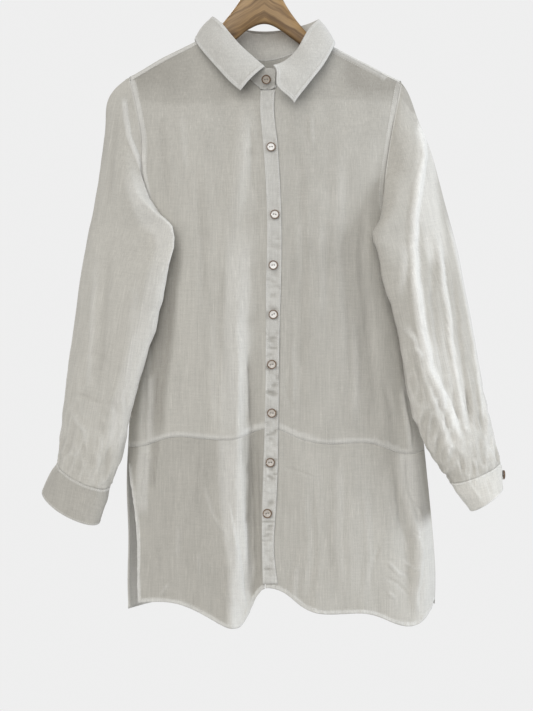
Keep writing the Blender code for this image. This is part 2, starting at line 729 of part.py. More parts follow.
def sleeve_grid(hand, loop):
    table = SLEEVE_RIGHT if hand == "right" else SLEEVE_LEFT
    steps = np.linalg.norm(np.roll(loop, -1, axis=0) - loop, axis=1)
    turns = np.concatenate([[0.0], np.cumsum(steps)[:-1]]) / steps.sum()
    rings = [loop]
    base = np.array([ring_point(table, 1, turn, bow=CAP_BOW.at(1, "bow")) for turn in turns])
    for ring in range(1, SLEEVE_RINGS):
        keep = max(0.0, 1.0 - ring / 5.0) ** 2
        row = []
        for turn, seam, first in zip(turns, loop, base):
            push = sleeve_push(hand, ring, turn)
            point = ring_point(table, ring, turn, push, CAP_BOW.at(ring, "bow")) + (seam - first) * keep
            roll = UNDERARM_ROLL * min(max((ring - 2) / 2, 0.0), 1.0)
            row.append(clear_of_body(point, min(1.0, ring / 3), roll))
        rings.append(np.array(row))
    grid = np.array(rings)
    for _ in range(CAP_EASES):
        eased = (grid[:CAP_RINGS - 1] + 2 * grid[1:CAP_RINGS] + grid[2:CAP_RINGS + 1]) / 4
        eased = (np.roll(eased, 1, axis=1) + 2 * eased + np.roll(eased, -1, axis=1)) / 4
        grid[1:CAP_RINGS] = eased
    return grid


def add_sleeve(hand, loop, material):
    grid = sleeve_grid(hand, loop)
    grid = draw_in(grid, 0.8, ["top"])
    inward = -1.0 if hand == "right" else 1.0
    return add_wall(f"sleeve_{hand}", grid, WALL, material, closed=True, inward=inward)


def cuff_point(hand, down, turn, extra):
    table = CUFF_RIGHT if hand == "right" else CUFF_LEFT
    return ring_point(table, down, turn % 1.0, extra)


def add_cuff(hand, material):
    """A lapped band: it goes once round and its end lies over its start."""
    start = CUFF_LAP_START[hand]
    grid = []
    for row in range(CUFF_ROWS + 1):
        down = row / CUFF_ROWS
        line = []
        for column in range(CUFF_TURN_COLUMNS + CUFF_LAP_COLUMNS + 1):
            turn = column / CUFF_TURN_COLUMNS
            rise = CUFF_RISE * min(1.0, turn)
            line.append(cuff_point(hand, down, start + turn, rise))
        grid.append(line)
    grid = draw_in(grid, 0.8, ["top"])
    inward = -1.0 if hand == "right" else 1.0
    return add_wall(f"cuff_{hand}", grid, CUFF_WALL, material, inward=inward)


def add_placket(material):
    rows, columns = 30, 4
    grid = []
    for z in np.linspace(-235.6, BAND_END, rows + 1):
        left, right = BAND.at(z, "left_edge"), BAND.at(z, "right_edge")
        grid.append([body_point(-1, x, z) for x in np.linspace(left, right, columns + 1)])
    grid = np.array(grid)
    grid[:, :, 1] -= BAND_WALL + LAY_GAP
    add_wall("placket", grid, BAND_WALL, material)


def seam_point(station):
    """The neck seam's point at a station of the collar."""
    x = COLLAR.at(station, "seam_x")
    if 5.0 <= station <= 13.0:
        return body_point(1, x, NECK_BACK.at(x, "z"))
    return body_point(-1, x, NECK_FRONT.at(x, "z"))


def roll_point(station):
    return np.array([COLLAR.at(station, name) for name in ("roll_x", "roll_y", "roll_z")])


def edge_point(station):
    return np.array([COLLAR.at(station, name) for name in ("edge_x", "edge_y", "edge_z")])


def add_stand(material):
    """The stand from the tab on the wearer's right front round to the left front."""
    stations = np.linspace(0.0, 17.6, 41)
    rows = 3
    columns = []
    for station in stations:
        low, high = seam_point(station), roll_point(station)
        up = (high - low) / np.linalg.norm(high - low)
        low = low + up * (SEAM_GAP + 0.9)
        high = high - up * 0.5
        columns.append([low + (high - low) * k / rows for k in range(rows, -1, -1)])
    front = np.array(columns[0])
    for reach in (0.35, 0.7, 1.0):
        shifted = front.copy()
        shifted[:, 0] += TAB_REACH * reach
        shifted[:, 1] -= 2.6 * min(1.0, 2 * reach)
        if reach == 1.0:
            shifted[0, 2] -= 2.0
            shifted[-1, 2] += 2.0
        columns.insert(0, shifted)
    grid = np.transpose(np.array(columns), (1, 0, 2))
    return add_wall("collar_stand", grid, STAND_WALL, material, inward=-1.0)


def add_collar(material):
    """The leaf: from the roll line it turns over the stand and falls to its outer edge."""
    stations = np.linspace(0.0, 18.0, 43)
    rows = 6
    grid = []
    for row in range(rows + 1):
        line = []
        for station in stations:
            roll, edge, seam = roll_point(station), edge_point(station), seam_point(station)
            fall = edge - roll
            run = roll_point(min(station + 0.2, 18.0)) - roll_point(max(station - 0.2, 0.0))
            out = np.array([run[1], -run[0], 0.0])
            out = -out / np.linalg.norm(out)
            t = row / rows
            point = roll + fall * t + out * LEAF_BULGE * math.sin(math.pi * t) ** 0.8
            point[2] += LEAF_RISE * (1.0 - t) ** 2 + LEAF_BULGE * math.sin(math.pi * t) * 0.6
            point = point + out * 2.4 * (1.0 - t)
            line.append(point)
        grid.append(line)
    return add_wall("collar", np.array(grid), COLLAR_WALL, material, inward=-1.0)


def add_button(name, centre, facing, material):
    """A round two-hole button with a raised rim, its back on centre and its face along facing."""
    body = bmesh.new()
    profile = [(BUTTON_RADIUS - 0.5, 0.0), (BUTTON_RADIUS, 0.6), (BUTTON_RADIUS, BUTTON_THICK - 0.5),
               (BUTTON_RADIUS - 0.5, BUTTON_THICK), (BUTTON_RADIUS - RIM_WIDTH, BUTTON_THICK - 0.7)]
    sides = 14
    rings = []
    for radius, height in profile:
        rings.append([body.verts.new((radius * math.cos(2 * math.pi * k / sides),
                                      radius * math.sin(2 * math.pi * k / sides), height))
                      for k in range(sides)])
    for low, high in zip(rings, rings[1:]):
        for k in range(sides):
            body.faces.new((low[k], low[(k + 1) % sides], high[(k + 1) % sides], high[k]))
    body.faces.new(list(reversed(rings[0])))
    body.faces.new(rings[-1])
    facing = np.array(facing, float) / np.linalg.norm(facing)
    sideways = np.cross((0.0, 0.0, 1.0), facing)
    sideways = sideways / np.linalg.norm(sideways)
    upward = np.cross(facing, sideways)
    for vertex in body.verts:
        x, y, z = vertex.co
        vertex.co = [float(c) for c in np.array(centre) + sideways * x + upward * y + facing * z]
    mesh = bpy.data.meshes.new(name)
    bmesh.ops.recalc_face_normals(body, faces=body.faces)
    for vertex in body.verts:
        vertex.co *= MM
    body.to_mesh(mesh)
    body.free()
    mesh.materials.append(material)
    mesh.shade_smooth()
    mesh.set_sharp_from_angle(angle=math.radians(35))
    piece = bpy.data.objects.new(name, mesh)
    bpy.context.scene.collection.objects.link(piece)
    return piece


def band_face(x, z):
    """A point on the placket's outer face."""
    return body_point(-1, x, z) + np.array([0.0, -(BAND_WALL + LAY_GAP), 0.0])


def add_buttons(material):
    tab = roll_point(0.0) * 0.5 + seam_point(0.0) * 0.5
    lean = roll_point(0.0) - seam_point(0.0)
    facing = np.cross(lean, (1.0, 0.0, 0.0))
    facing = facing if facing[1] < 0 else -facing
    facing = facing / np.linalg.norm(facing)
    add_button("button_1", tab + facing * 2.6 + np.array([2.5, 0.0, 0.0]), facing, material)
    for index, (x, z) in enumerate(BUTTONS, start=2):
        here = band_face(x, z)
        slope = (band_face(x, z + 6) - band_face(x, z - 6)) / 12
        across = (band_face(x + 5, z) - band_face(x - 5, z)) / 10
        facing = np.cross(slope, across)
        facing = facing if facing[1] < 0 else -facing
        facing = facing / np.linalg.norm(facing)
        lowest = max(float(np.dot(band_face(x + dx, z + dz) - here, facing))
                     for dx in (-6, 0, 6) for dz in (-6, 0, 6))
        add_button(f"button_{index}", here + facing * (max(lowest, 0.0) + LAY_GAP), facing, material)


def add_cuff_button(hand, material):
    turn = CUFF_LAP_START[hand] + 1.0 + 0.45 * CUFF_LAP_COLUMNS / CUFF_TURN_COLUMNS
    here = cuff_point(hand, 0.5, turn, CUFF_RISE)
    ahead, behind = (cuff_point(hand, 0.5, turn + step, CUFF_RISE) for step in (0.01, -0.01))
    low, high = (cuff_point(hand, share, turn, CUFF_RISE) for share in (0.6, 0.4))
    facing = np.cross(ahead - behind, low - high)
    middle = cuff_point(hand, 0.5, turn + 0.5, 0.0)
    if np.dot(facing, here - middle) < 0:
        facing = -facing
    facing = facing / np.linalg.norm(facing)
    add_button(f"cuff_button_{hand}", here + facing * CUFF_BUTTON_GAP, facing, material)


# Hanger body from the middle out: top edge, bottom edge and half thickness at each x.
# From HANGER_UNDER_CLOTH outwards its top edge follows the shoulder line inside the cloth.
HANGER_RIGHT = Table("x top bottom half", [
    (0, -69, -141, 6.5), (8, -70, -142, 6.5), (18, -77, -147, 6.4), (26, -92, -151, 6.3),
    (33, -107, -158, 6.2), (44, -122, -166, 6.0), (57, -138, -176, 5.4), (68, -153, -185, 4.4),
    (76, -160, -190, 3.8), (94, -165, -199, 4.0), (116, -176, -207, 3.6), (143, -190, -216, 3.0),
    (165, -203, -224, 2.2), (174, -209, -223, 1.6),
])
HANGER_LEFT = Table("x top bottom half", [
    (0, -69, -141, 6.5), (8, -72, -142, 6.5), (18, -90, -147, 6.4), (26, -107, -152, 6.3),
    (34, -121, -158, 6.2), (49, -141, -169, 5.6), (60, -153, -178, 5.0), (69, -162, -186, 4.2),
    (78, -169, -192, 3.6), (95, -173, -201, 3.8), (117, -184.5, -209, 3.4), (145, -199.5, -219, 2.8),
    (165, -210.5, -227, 2.0), (174, -215.5, -227, 1.5),
])
HANGER_STATIONS = (174, 165, 150, 133, 116, 100, 85, 76, 67, 57, 46, 34, 26, 18, 9)
HANGER_UNDER_CLOTH = 80.0
HANGER_SIDES = 12


def hanger_section(sign, x):
    """Top, bottom and half thickness of the wood at a distance from the middle."""
    table = HANGER_RIGHT if sign < 0 else HANGER_LEFT
    top = table.at(x, "top")
    if x > HANGER_UNDER_CLOTH:
        top = RIDGE.at(sign * x, "z") - WALL - WOOD_GAP
    return sign * x, top, table.at(x, "bottom"), table.at(x, "half")


def add_hanger(material):
    line = [hanger_section(-1, x) for x in HANGER_STATIONS]
    line.append(hanger_section(-1, 0))
    line += [hanger_section(1, x) for x in reversed(HANGER_STATIONS)]
    points, faces = [], []
    sides = HANGER_SIDES
    for x, top, bottom, half in line:
        middle, tall = (top + bottom) / 2, (top - bottom) / 2
        for k in range(sides):
            angle = 2 * math.pi * (k + 0.5) / sides
            up, deep = math.sin(angle), math.cos(angle)
            points.append((x, half * math.copysign(abs(deep) ** 0.75, deep),
                           middle + tall * math.copysign(abs(up) ** 0.85, up)))
    for row in range(len(line) - 1):
        for k in range(sides):
            nxt = (k + 1) % sides
            low, high = row * sides, (row + 1) * sides
            faces.append([low + k, low + nxt, high + nxt, high + k])
    faces.append(list(range(sides)))
    faces.append([(len(line) - 1) * sides + k for k in range(sides)])
    return add_mesh("hanger_body", points, faces, material)


def add_hook(material):
    """A wire: its shank stands on the wood, bends and goes round over the top to an open end."""
    centre_radius = HOOK_RADIUS + WIRE
    drop = 8.0
    turn_start, turn_end = -40.0, 195.0
    route = []
    for step in range(25):
        angle = math.radians(turn_start + (turn_end - turn_start) * step / 24)
        high = -HOOK_RADIUS + centre_radius * math.sin(angle)
        route.append((centre_radius * math.cos(angle), high))
    first = route[0]
    shank = [(0.0, WOOD_TOP + SEAM_GAP), (0.0, -62.0), (1.5, -54.0), (first[0] * 0.62, first[1] - drop * 0.9)]
    route = shank + route
    curve = bpy.data.curves.new("hanger_hook", "CURVE")
    curve.dimensions = "3D"
    curve.bevel_depth = WIRE * MM
    curve.bevel_resolution = 2
    curve.use_fill_caps = True
    smooth = resample([(x, z) for x, z in route], 36)
    line = curve.splines.new("POLY")
    line.points.add(len(smooth) - 1)
    for point, (x, z) in zip(line.points, smooth):
        point.co = (x * MM, 0.0, z * MM, 1.0)
    curve.materials.append(material)
    piece = bpy.data.objects.new("hanger_hook", curve)
    bpy.context.scene.collection.objects.link(piece)
    return piece


def main():
    for old in list(bpy.data.objects):
        bpy.data.objects.remove(old, do_unlink=True)
    linen = plain_material("linen", (0.62, 0.60, 0.55), 0.9)
    band_linen = plain_material("linen_band", (0.70, 0.68, 0.64), 0.9)
    shell = plain_material("button_shell", (0.42, 0.33, 0.25), 0.35)
    wood = plain_material("hanger_wood", (0.27, 0.17, 0.08), 0.5)
    wire = plain_material("hook_wire", (0.60, 0.60, 0.58), 0.3, 1.0)
    fronts = {}
    for hand in ("right", "left"):
        sign = 1.0 if hand == "left" else -1.0
        fronts[hand] = front_upper_grid(hand)
        upper = draw_in(fronts[hand], SEAM_GAP * 0.7, ["top", "top", "bottom", "last", "first"])
        lower = draw_in(front_lower_grid(hand), SEAM_GAP * 0.7, ["top", "last", "first"])
        add_wall(f"front_{hand}_upper", upper, WALL, linen, inward=sign)
        add_wall(f"front_{hand}_lower", lower, WALL, linen, inward=sign)
    back, yoke = back_grid(), yoke_grid()
    add_wall("back", draw_in(back, SEAM_GAP * 0.9, ["top", "first", "last"]), WALL, linen, inward=-1.0)
    yoke_edges = ["top", "bottom", "first", "last"]
    add_wall("yoke", draw_in(yoke, SEAM_GAP * 0.7, yoke_edges), WALL, linen, inward=-1.0)
    for hand in ("right", "left"):
        add_sleeve(hand, arm_loop(hand, fronts[hand], yoke, back), linen)
        add_cuff(hand, band_linen)
        add_cuff_button(hand, shell)
    add_placket(band_linen)
    add_stand(band_linen)
    add_collar(band_linen)
    add_buttons(shell)
    add_hanger(wood)
    add_hook(wire)


main()
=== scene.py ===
# Looks of a linen tunic top that hangs on a wooden hanger
import json
import math

import bmesh
import bpy
import numpy as np
from mathutils import Matrix, Vector, noise
from mathutils.bvhtree import BVHTree
from mathutils.kdtree import KDTree

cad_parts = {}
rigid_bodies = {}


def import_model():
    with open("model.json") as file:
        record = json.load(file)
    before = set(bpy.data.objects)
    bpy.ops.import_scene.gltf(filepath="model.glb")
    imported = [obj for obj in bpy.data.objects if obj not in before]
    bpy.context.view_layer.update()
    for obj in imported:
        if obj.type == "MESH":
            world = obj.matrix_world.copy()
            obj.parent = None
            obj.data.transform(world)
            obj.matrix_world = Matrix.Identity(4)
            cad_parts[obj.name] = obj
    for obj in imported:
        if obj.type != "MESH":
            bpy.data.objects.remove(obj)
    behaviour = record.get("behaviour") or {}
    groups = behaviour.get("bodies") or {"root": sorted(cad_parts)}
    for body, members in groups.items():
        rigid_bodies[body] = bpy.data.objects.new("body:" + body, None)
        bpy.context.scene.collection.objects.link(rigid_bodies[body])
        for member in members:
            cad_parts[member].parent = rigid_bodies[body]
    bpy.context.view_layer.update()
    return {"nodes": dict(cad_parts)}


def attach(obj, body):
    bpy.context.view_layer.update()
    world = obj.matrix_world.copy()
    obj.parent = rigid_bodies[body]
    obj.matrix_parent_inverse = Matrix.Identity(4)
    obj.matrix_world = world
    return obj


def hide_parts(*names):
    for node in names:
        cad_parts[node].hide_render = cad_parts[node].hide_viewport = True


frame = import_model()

mm = 0.001


# Selection and modifiers

def pickOnly(piece):
    for other in bpy.context.scene.objects:
        other.select_set(False)
    piece.select_set(True)
    bpy.context.view_layer.objects.active = piece


def applyModifier(piece, kind, settings):
    pickOnly(piece)
    modifier = piece.modifiers.new(kind.lower(), kind)
    for name, value in settings.items():
        setattr(modifier, name, value)
    bpy.ops.object.modifier_apply(modifier=modifier.name)


def newPiece(name, mesh):
    piece = bpy.data.objects.new(name, mesh)
    bpy.context.scene.collection.objects.link(piece)
    return piece


# Shader maths: a wired socket that takes part in Python sums

class Wire:
    def __init__(self, paint, socket):
        self.paint = paint
        self.socket = socket

    def maths(self, operation, first, second, third=0.5):
        return self.paint.node("ShaderNodeMath", {"operation": operation},
                               {0: first, 1: second, 2: third})

    def __add__(self, other):
        return self.maths("ADD", self, other)

    __radd__ = __add__

    def __mul__(self, other):
        return self.maths("MULTIPLY", self, other)

    __rmul__ = __mul__

    def __sub__(self, other):
        return self.maths("SUBTRACT", self, other)

    def __rsub__(self, other):
        return self.maths("SUBTRACT", other, self)

    def __truediv__(self, other):
        return self.maths("DIVIDE", self, other)

    def __pow__(self, other):
        return self.maths("POWER", self, other)

    def over(self, low, high):
        return self.paint.node("ShaderNodeMapRange", {"interpolation_type": "SMOOTHSTEP"},
                               {"Value": self, "From Min": low, "From Max": high})

    def wave(self):
        return self.maths("SINE", self, 0.0)


class Paint:
    def __init__(self, name):
        self.material = bpy.data.materials.new(name)
        self.material.use_nodes = True
        self.tree = self.material.node_tree
        self.shader = self.tree.nodes["Principled BSDF"]

    def node(self, kind, settings, values, output=0):
        made = self.tree.nodes.new(kind)
        for name, value in settings.items():
            if name == "stops":
                for stop, (place, colour) in zip(made.color_ramp.elements, value):
                    stop.position = place
                    stop.color = (*colour, 1.0)
            else:
                setattr(made, name, value)
        for name, value in values.items():
            self.join(made.inputs[name], value)
        return Wire(self, made.outputs[output])

    def join(self, socket, value):
        if isinstance(value, Wire):
            self.tree.links.new(value.socket, socket)
        elif isinstance(value, tuple) and len(value) == 3 and socket.type == "RGBA":
            socket.default_value = (*value, 1.0)
        else:
            socket.default_value = value

    def set(self, values):
        for name, value in values.items():
            self.join(self.shader.inputs[name], value)

    def place(self, turn=(0.0, 0.0, 0.0), scale=(1.0, 1.0, 1.0)):
        coordinates = self.node("ShaderNodeTexCoord", {}, {}, "Object")
        finer = tuple(1.0 / size for size in scale)
        return self.node("ShaderNodeMapping", {"vector_type": "TEXTURE"},
                         {"Vector": coordinates, "Rotation": turn, "Scale": finer})

    def noise(self, vector, scale, detail=2.0, roughness=0.5):
        return self.node("ShaderNodeTexNoise", {},
                         {"Vector": vector, "Scale": scale, "Detail": detail,
                          "Roughness": roughness})

    def mix(self, share, first, second):
        return self.node("ShaderNodeMix", {"data_type": "RGBA"}, {0: share, 6: first, 7: second}, 2)

    def grade(self, colour, lightLevel):
        return self.node("ShaderNodeVectorMath", {"operation": "SCALE"},
                         {0: colour, "Scale": lightLevel})

    def split(self, vector, axis):
        return self.node("ShaderNodeSeparateXYZ", {}, {"Vector": vector}, axis)

    def attribute(self, name):
        return self.node("ShaderNodeAttribute", {"attribute_name": name}, {}, "Fac")

    def bump(self, height, strength, distance):
        return self.node("ShaderNodeBump", {},
                         {"Height": height, "Strength": strength, "Distance": distance})


# Materials

linen = {
    "colour": (0.485, 0.47, 0.43),
    # paler colour: doubled cloth at seams, hems, collar and placket, and painted highlights on ridges and folds
    "doubled": (0.625, 0.617, 0.588),
    # darker colour: painted shade, for the shadowed inside seen through the thin cloth, troughs and valleys
    "behind": (0.33, 0.315, 0.283),
    "warpSlub": 0.20, "weftSlub": 0.10, "slub": 0.05, "cloud": 0.10, "grain": 0.10,
    "thread": 0.0009, "roughness": 0.86,
}


def linenPaint(name, tilt, lightLevel=1.0):
    paint = Paint(name)
    turned = (0.0, math.radians(tilt), 0.0)
    place = paint.place(turned)
    warp = paint.noise(paint.place(turned, (820.0, 820.0, 20.0)), 1.0, 3.0, 0.6)
    weft = paint.noise(paint.place(turned, (60.0, 60.0, 800.0)), 1.0, 2.0, 0.6)
    slub = paint.noise(paint.place(turned, (460.0, 460.0, 30.0)), 1.0, 1.0).over(0.60, 0.80)
    cloud = paint.noise(paint.place(turned, (40.0, 40.0, 14.0)), 1.0, 3.0, 0.6)
    grain = paint.noise(place, 760.0, 1.0)
    doubled = paint.attribute("doubled")
    behind = paint.attribute("behind")
    # Darker colour for painted shade.
    colour = paint.mix(behind, linen["colour"], linen["behind"])
    # Paler colour for doubled cloth and for painted highlights.
    colour = paint.mix(doubled, colour, linen["doubled"])
    streaks = (warp - 0.5) * linen["warpSlub"] + (weft - 0.5) * linen["weftSlub"]
    streaks = streaks + slub * linen["slub"] + (cloud - 0.5) * linen["cloud"]
    lit = (streaks + (grain - 0.5) * linen["grain"]) * 2.0 + 0.99
    # The whole material is made lighter or darker here: painted light and shade.
    colour = paint.grade(colour, lit * lightLevel)
    turns = 2.0 * math.pi / linen["thread"]
    over = (paint.split(place, "X") * turns).wave()
    side = (paint.split(place, "Y") * turns).wave()
    flank = paint.attribute("flank")
    across = over * (1.0 - flank) + side * flank
    along = (paint.split(place, "Z") * turns).wave()
    weave = across * along * 0.25 + warp * 0.9 + weft * 0.7
    paint.set({
        "Base Color": colour,
        "Roughness": linen["roughness"],
        "Sheen Weight": 0.22, "Sheen Roughness": 0.45,
        "Specular IOR Level": 0.18,
        "Normal": paint.bump(weave, 0.35, 0.0005),
    })
    return paint.material


def shellPaint():
    paint = Paint("shell button")
    place = paint.place()
    ring = paint.attribute("rim")
    pearl = paint.attribute("pearl")
    cloud = paint.noise(place, 700.0, 3.0)
    brown = paint.mix(cloud, (0.06, 0.032, 0.016), (0.19, 0.115, 0.065))
    white = paint.mix(cloud, (0.62, 0.60, 0.57), (0.95, 0.94, 0.92))
    dull = paint.mix(cloud, (0.20, 0.15, 0.10), (0.44, 0.39, 0.33))
    middle = paint.mix(pearl, dull, white)
    paint.set({"Base Color": paint.mix(ring, middle, brown), "Roughness": 0.25,
               "Coat Weight": 0.6, "Coat Roughness": 0.12})
    return paint.material


def woodPaint():
    paint = Paint("hanger wood")
    place = paint.place()
    slope = paint.attribute("slope") * 0.001
    bent = paint.noise(place, 45.0, 2.0)
    along = paint.node("ShaderNodeCombineXYZ", {}, {
        "X": paint.split(place, "X") * 9.0, "Y": paint.split(place, "Y") * 60.0,
        "Z": slope * 190.0 + bent * 1.6})
    lines = paint.noise(along, 1.0, 3.0, 0.6)
    fine = paint.node("ShaderNodeCombineXYZ", {}, {
        "X": paint.split(place, "X") * 70.0, "Y": paint.split(place, "Y") * 500.0,
        "Z": slope * 1500.0})
    pores = paint.noise(fine, 1.0, 2.0)
    grain = lines.over(0.30, 0.70)
    colour = paint.mix(grain, (0.135, 0.073, 0.027), (0.345, 0.215, 0.092))
    colour = paint.grade(colour, pores * 0.50 + 0.75)
    # A dark knot, and painted shade on the underside of the wood, share this colour.
    knot = paint.attribute("knot")
    colour = paint.mix(knot, colour, (0.075, 0.04, 0.018))
    paint.set({"Base Color": colour, "Roughness": grain * -0.10 + 0.52, "Coat Weight": 0.05,
               "Coat Roughness": 0.3, "Normal": paint.bump(pores, 0.2, 0.0004)})
    return paint.material


def wirePaint():
    paint = Paint("hook wire")
    brushed = paint.noise(paint.place((0.0, 0.0, 0.0), (900.0, 900.0, 300.0)), 1.0, 2.0)
    paint.set({"Base Color": paint.mix(brushed, (0.5, 0.5, 0.48), (0.72, 0.72, 0.70)),
               "Roughness": brushed * 0.2 + 0.2, "Metallic": 1.0})
    return paint.material


def threadPaint():
    paint = Paint("sewing thread")
    twist = paint.noise(paint.place(), 4000.0, 1.0)
    paint.set({"Base Color": paint.mix(twist, (0.50, 0.49, 0.45), (0.72, 0.71, 0.68)),
               "Roughness": 0.7, "Sheen Weight": 0.2})
    return paint.material


# The sleeve and collar copies of the linen are made lighter and darker by their last number: painted light and
# shade.
paints = {
    "body": linenPaint("linen body", 0.0),
    "sleeve_right": linenPaint("linen right sleeve", 9.5, 1.02),
    "sleeve_left": linenPaint("linen left sleeve", -12.0, 1.15),
    "collar": linenPaint("linen collar", 0.0, 0.91),
    "thread": threadPaint(),
    "shell": shellPaint(),
    "wood": woodPaint(),
    "wire": wirePaint(),
}
print("materials made")


# Cloth faces taken from the solids

def outerFace(node, name, side=None):
    sheet = bmesh.new()
    sheet.from_mesh(frame["nodes"][node].data)
    bmesh.ops.remove_doubles(sheet, verts=sheet.verts, dist=0.000001)
    sheet.normal_update()
    rim = set()
    for edge in sheet.edges:
        first, second = edge.verts
        step = first.co - second.co
        if 0.0 < step.length < 2.6 * mm:
            step.normalize()
            if step.dot(first.normal) > 0.3 and step.dot(second.normal) < -0.3:
                rim.update(edge.link_faces)
    left = set(sheet.faces) - rim
    islands = []
    for start in sheet.faces:
        if start not in left:
            continue
        left.remove(start)
        stack, island = [start], [start]
        while stack:
            face = stack.pop()
            for edge in face.edges:
                for near in edge.link_faces:
                    if near in left and near.normal.dot(face.normal) > 0.2:
                        left.remove(near)
                        stack.append(near)
                        island.append(near)
        islands.append(island)

    def worth(island):
        if side is None:
            return sum(face.calc_area() for face in island)
        return sum(face.calc_area() * face.normal.dot(Vector(side)) for face in island)

    kept = set(max(islands, key=worth))
    bmesh.ops.delete(sheet, geom=[f for f in sheet.faces if f not in kept], context="FACES")
    bmesh.ops.join_triangles(sheet, faces=sheet.faces, angle_face_threshold=3.1,
                             angle_shape_threshold=3.1)
    mesh = bpy.data.meshes.new(name)
    sheet.to_mesh(mesh)
    sheet.free()
    return newPiece(name, mesh)


def refine(piece, levels):
    applyModifier(piece, "SUBSURF", {"levels": levels, "render_levels": levels,
                                     "boundary_smooth": "PRESERVE_CORNERS"})


def pointsOf(piece):
    values = np.empty(len(piece.data.vertices) * 3)
    piece.data.vertices.foreach_get("co", values)
    return values.reshape(-1, 3) / mm


def normalsOf(piece):
    values = np.empty(len(piece.data.vertices) * 3)
    piece.data.vertex_normals.foreach_get("vector", values)
    return values.reshape(-1, 3)


def movePoints(piece, points):
    piece.data.vertices.foreach_set("co", (points * mm).ravel())
    piece.data.update()


def paintPoints(piece, name, values):
    layer = piece.data.attributes.new(name, "FLOAT", "POINT")
    layer.data.foreach_set("value", np.asarray(values, dtype=float))


# Creases: each runs along its points, in mm as seen from the front

def smooth(value):
    value = np.clip(value, 0.0, 1.0)
    return value * value * (3.0 - 2.0 * value)


def nearLine(flat, line):
    best = np.full(len(flat), 1e9)
    signed = np.zeros(len(flat))
    share = np.zeros(len(flat))
    ends = [np.array(point, float) for point in line]
    lengths = [np.linalg.norm(b - a) for a, b in zip(ends, ends[1:])]
    total, gone = sum(lengths), 0.0
    for start, end, length in zip(ends, ends[1:], lengths):
        way = (end - start) / length
        step = flat - start
        t = np.clip(step @ way, 0.0, length)
        gap = step - t[:, None] * way
        far = np.linalg.norm(gap, axis=1)
        hand = np.sign(step[:, 0] * way[1] - step[:, 1] * way[0])
        nearer = far < best
        best = np.where(nearer, far, best)
        signed = np.where(nearer, hand * far, signed)
        share = np.where(nearer, (gone + t) / total, share)
        gone += length
    return signed, share


def creaseHeight(flat, crease, flatTopped=False):
    line, half, height = crease[:3]
    fade = crease[3] if len(crease) > 3 else 0.3
    east, west = half if isinstance(half, tuple) else (half, half)
    reach = max(east, west)
    corners = np.array(line)
    near = np.all((flat > corners.min(axis=0) - reach) & (flat < corners.max(axis=0) + reach), axis=1)
    out = np.zeros(len(flat))
    if not near.any():
        return out
    signed, share = nearLine(flat[near], line)
    width = np.where(signed > 0, east, west)
    round_ = np.clip(1.0 - (signed / width) ** 2, 0.0, 1.0) ** 2
    if flatTopped:
        round_ = smooth((1.0 - np.abs(signed) / width) / 0.45)
    ends = smooth(share / fade) * smooth((1.0 - share) / fade) if fade > 0 else 1.0
    out[near] = height * round_ * ends
    return out


def wobble(points, scale, seed):
    moved = [noise.noise_vector(Vector((x / scale + seed, y / scale, z / scale - seed)))
             for x, y, z in points]
    return np.array([(v.x, v.y, v.z) for v in moved])


def crumple(points, scale, seed, stretch=(1.0, 1.0, 1.0)):
    sx, sy, sz = (scale * s for s in stretch)
    return np.array([noise.noise(Vector((x / sx + seed, y / sy + seed, z / sz)))
                     for x, y, z in points])


# Edges of a cloth face, in order, with the way each point faces

def edgeRuns(piece):
    sheet = bmesh.new()
    sheet.from_mesh(piece.data)
    follow = {}
    for edge in sheet.edges:
        if len(edge.link_faces) == 1:
            for here, there in (edge.verts, reversed(edge.verts)):
                follow.setdefault(here.index, []).append(there.index)
    seen, runs = set(), []
    for start in sorted(follow):
        if start in seen:
            continue
        run, here = [start], start
        seen.add(start)
        while True:
            ahead = [v for v in follow[here] if v not in seen]
            if not ahead:
                break
            here = ahead[0]
            seen.add(here)
            run.append(here)
        runs.append(run)
    inside = {v.index: [e.other_vert(v).index for e in v.link_edges if len(e.link_faces) == 2]
              for v in sheet.verts if v.index in follow}
    sheet.free()
    return runs, inside


def edgeLines(piece, points, wanted):
    runs, inside = edgeRuns(piece)
    lines = []
    for run in runs:
        keep = []
        for index in run:
            near = inside[index] or [run[0]]
            out = points[index] - points[near].mean(axis=0)
            out = out / max(np.linalg.norm(out), 1e-6)
            keep.append(bool(wanted(points[index], out)))
        if all(keep):
            lines.append([*run, run[0]])
            continue
        first = keep.index(False)
        order = run[first:] + run[:first]
        flags = keep[first:] + keep[:first]
        line = []
        for index, flag in zip(order, flags):
            if flag:
                line.append(index)
            elif len(line) > 3:
                lines.append(line)
                line = []
            else:
                line = []
        if len(line) > 3:
            lines.append(line)
    return lines


def gapTo(points, spots):
    tree = KDTree(len(spots))
    for index, spot in enumerate(spots):
        tree.insert(spot, index)
    tree.balance()
    return np.array([tree.find(point)[2] for point in points])


def along(spots, step):
    spots = np.asarray(spots, float)
    lengths = np.concatenate([[0.0], np.cumsum(np.linalg.norm(np.diff(spots, axis=0), axis=1))])
    stations = np.arange(step / 2, lengths[-1], step)
    return np.stack([np.interp(stations, lengths, spots[:, axis]) for axis in range(3)], axis=1)


# Stitches: spindles of thread that lie on a cloth face

stitching = {"length": 2.1, "gap": 0.9, "thick": 0.26, "lift": 0.12}
stitchPoints, stitchFaces = {}, {}


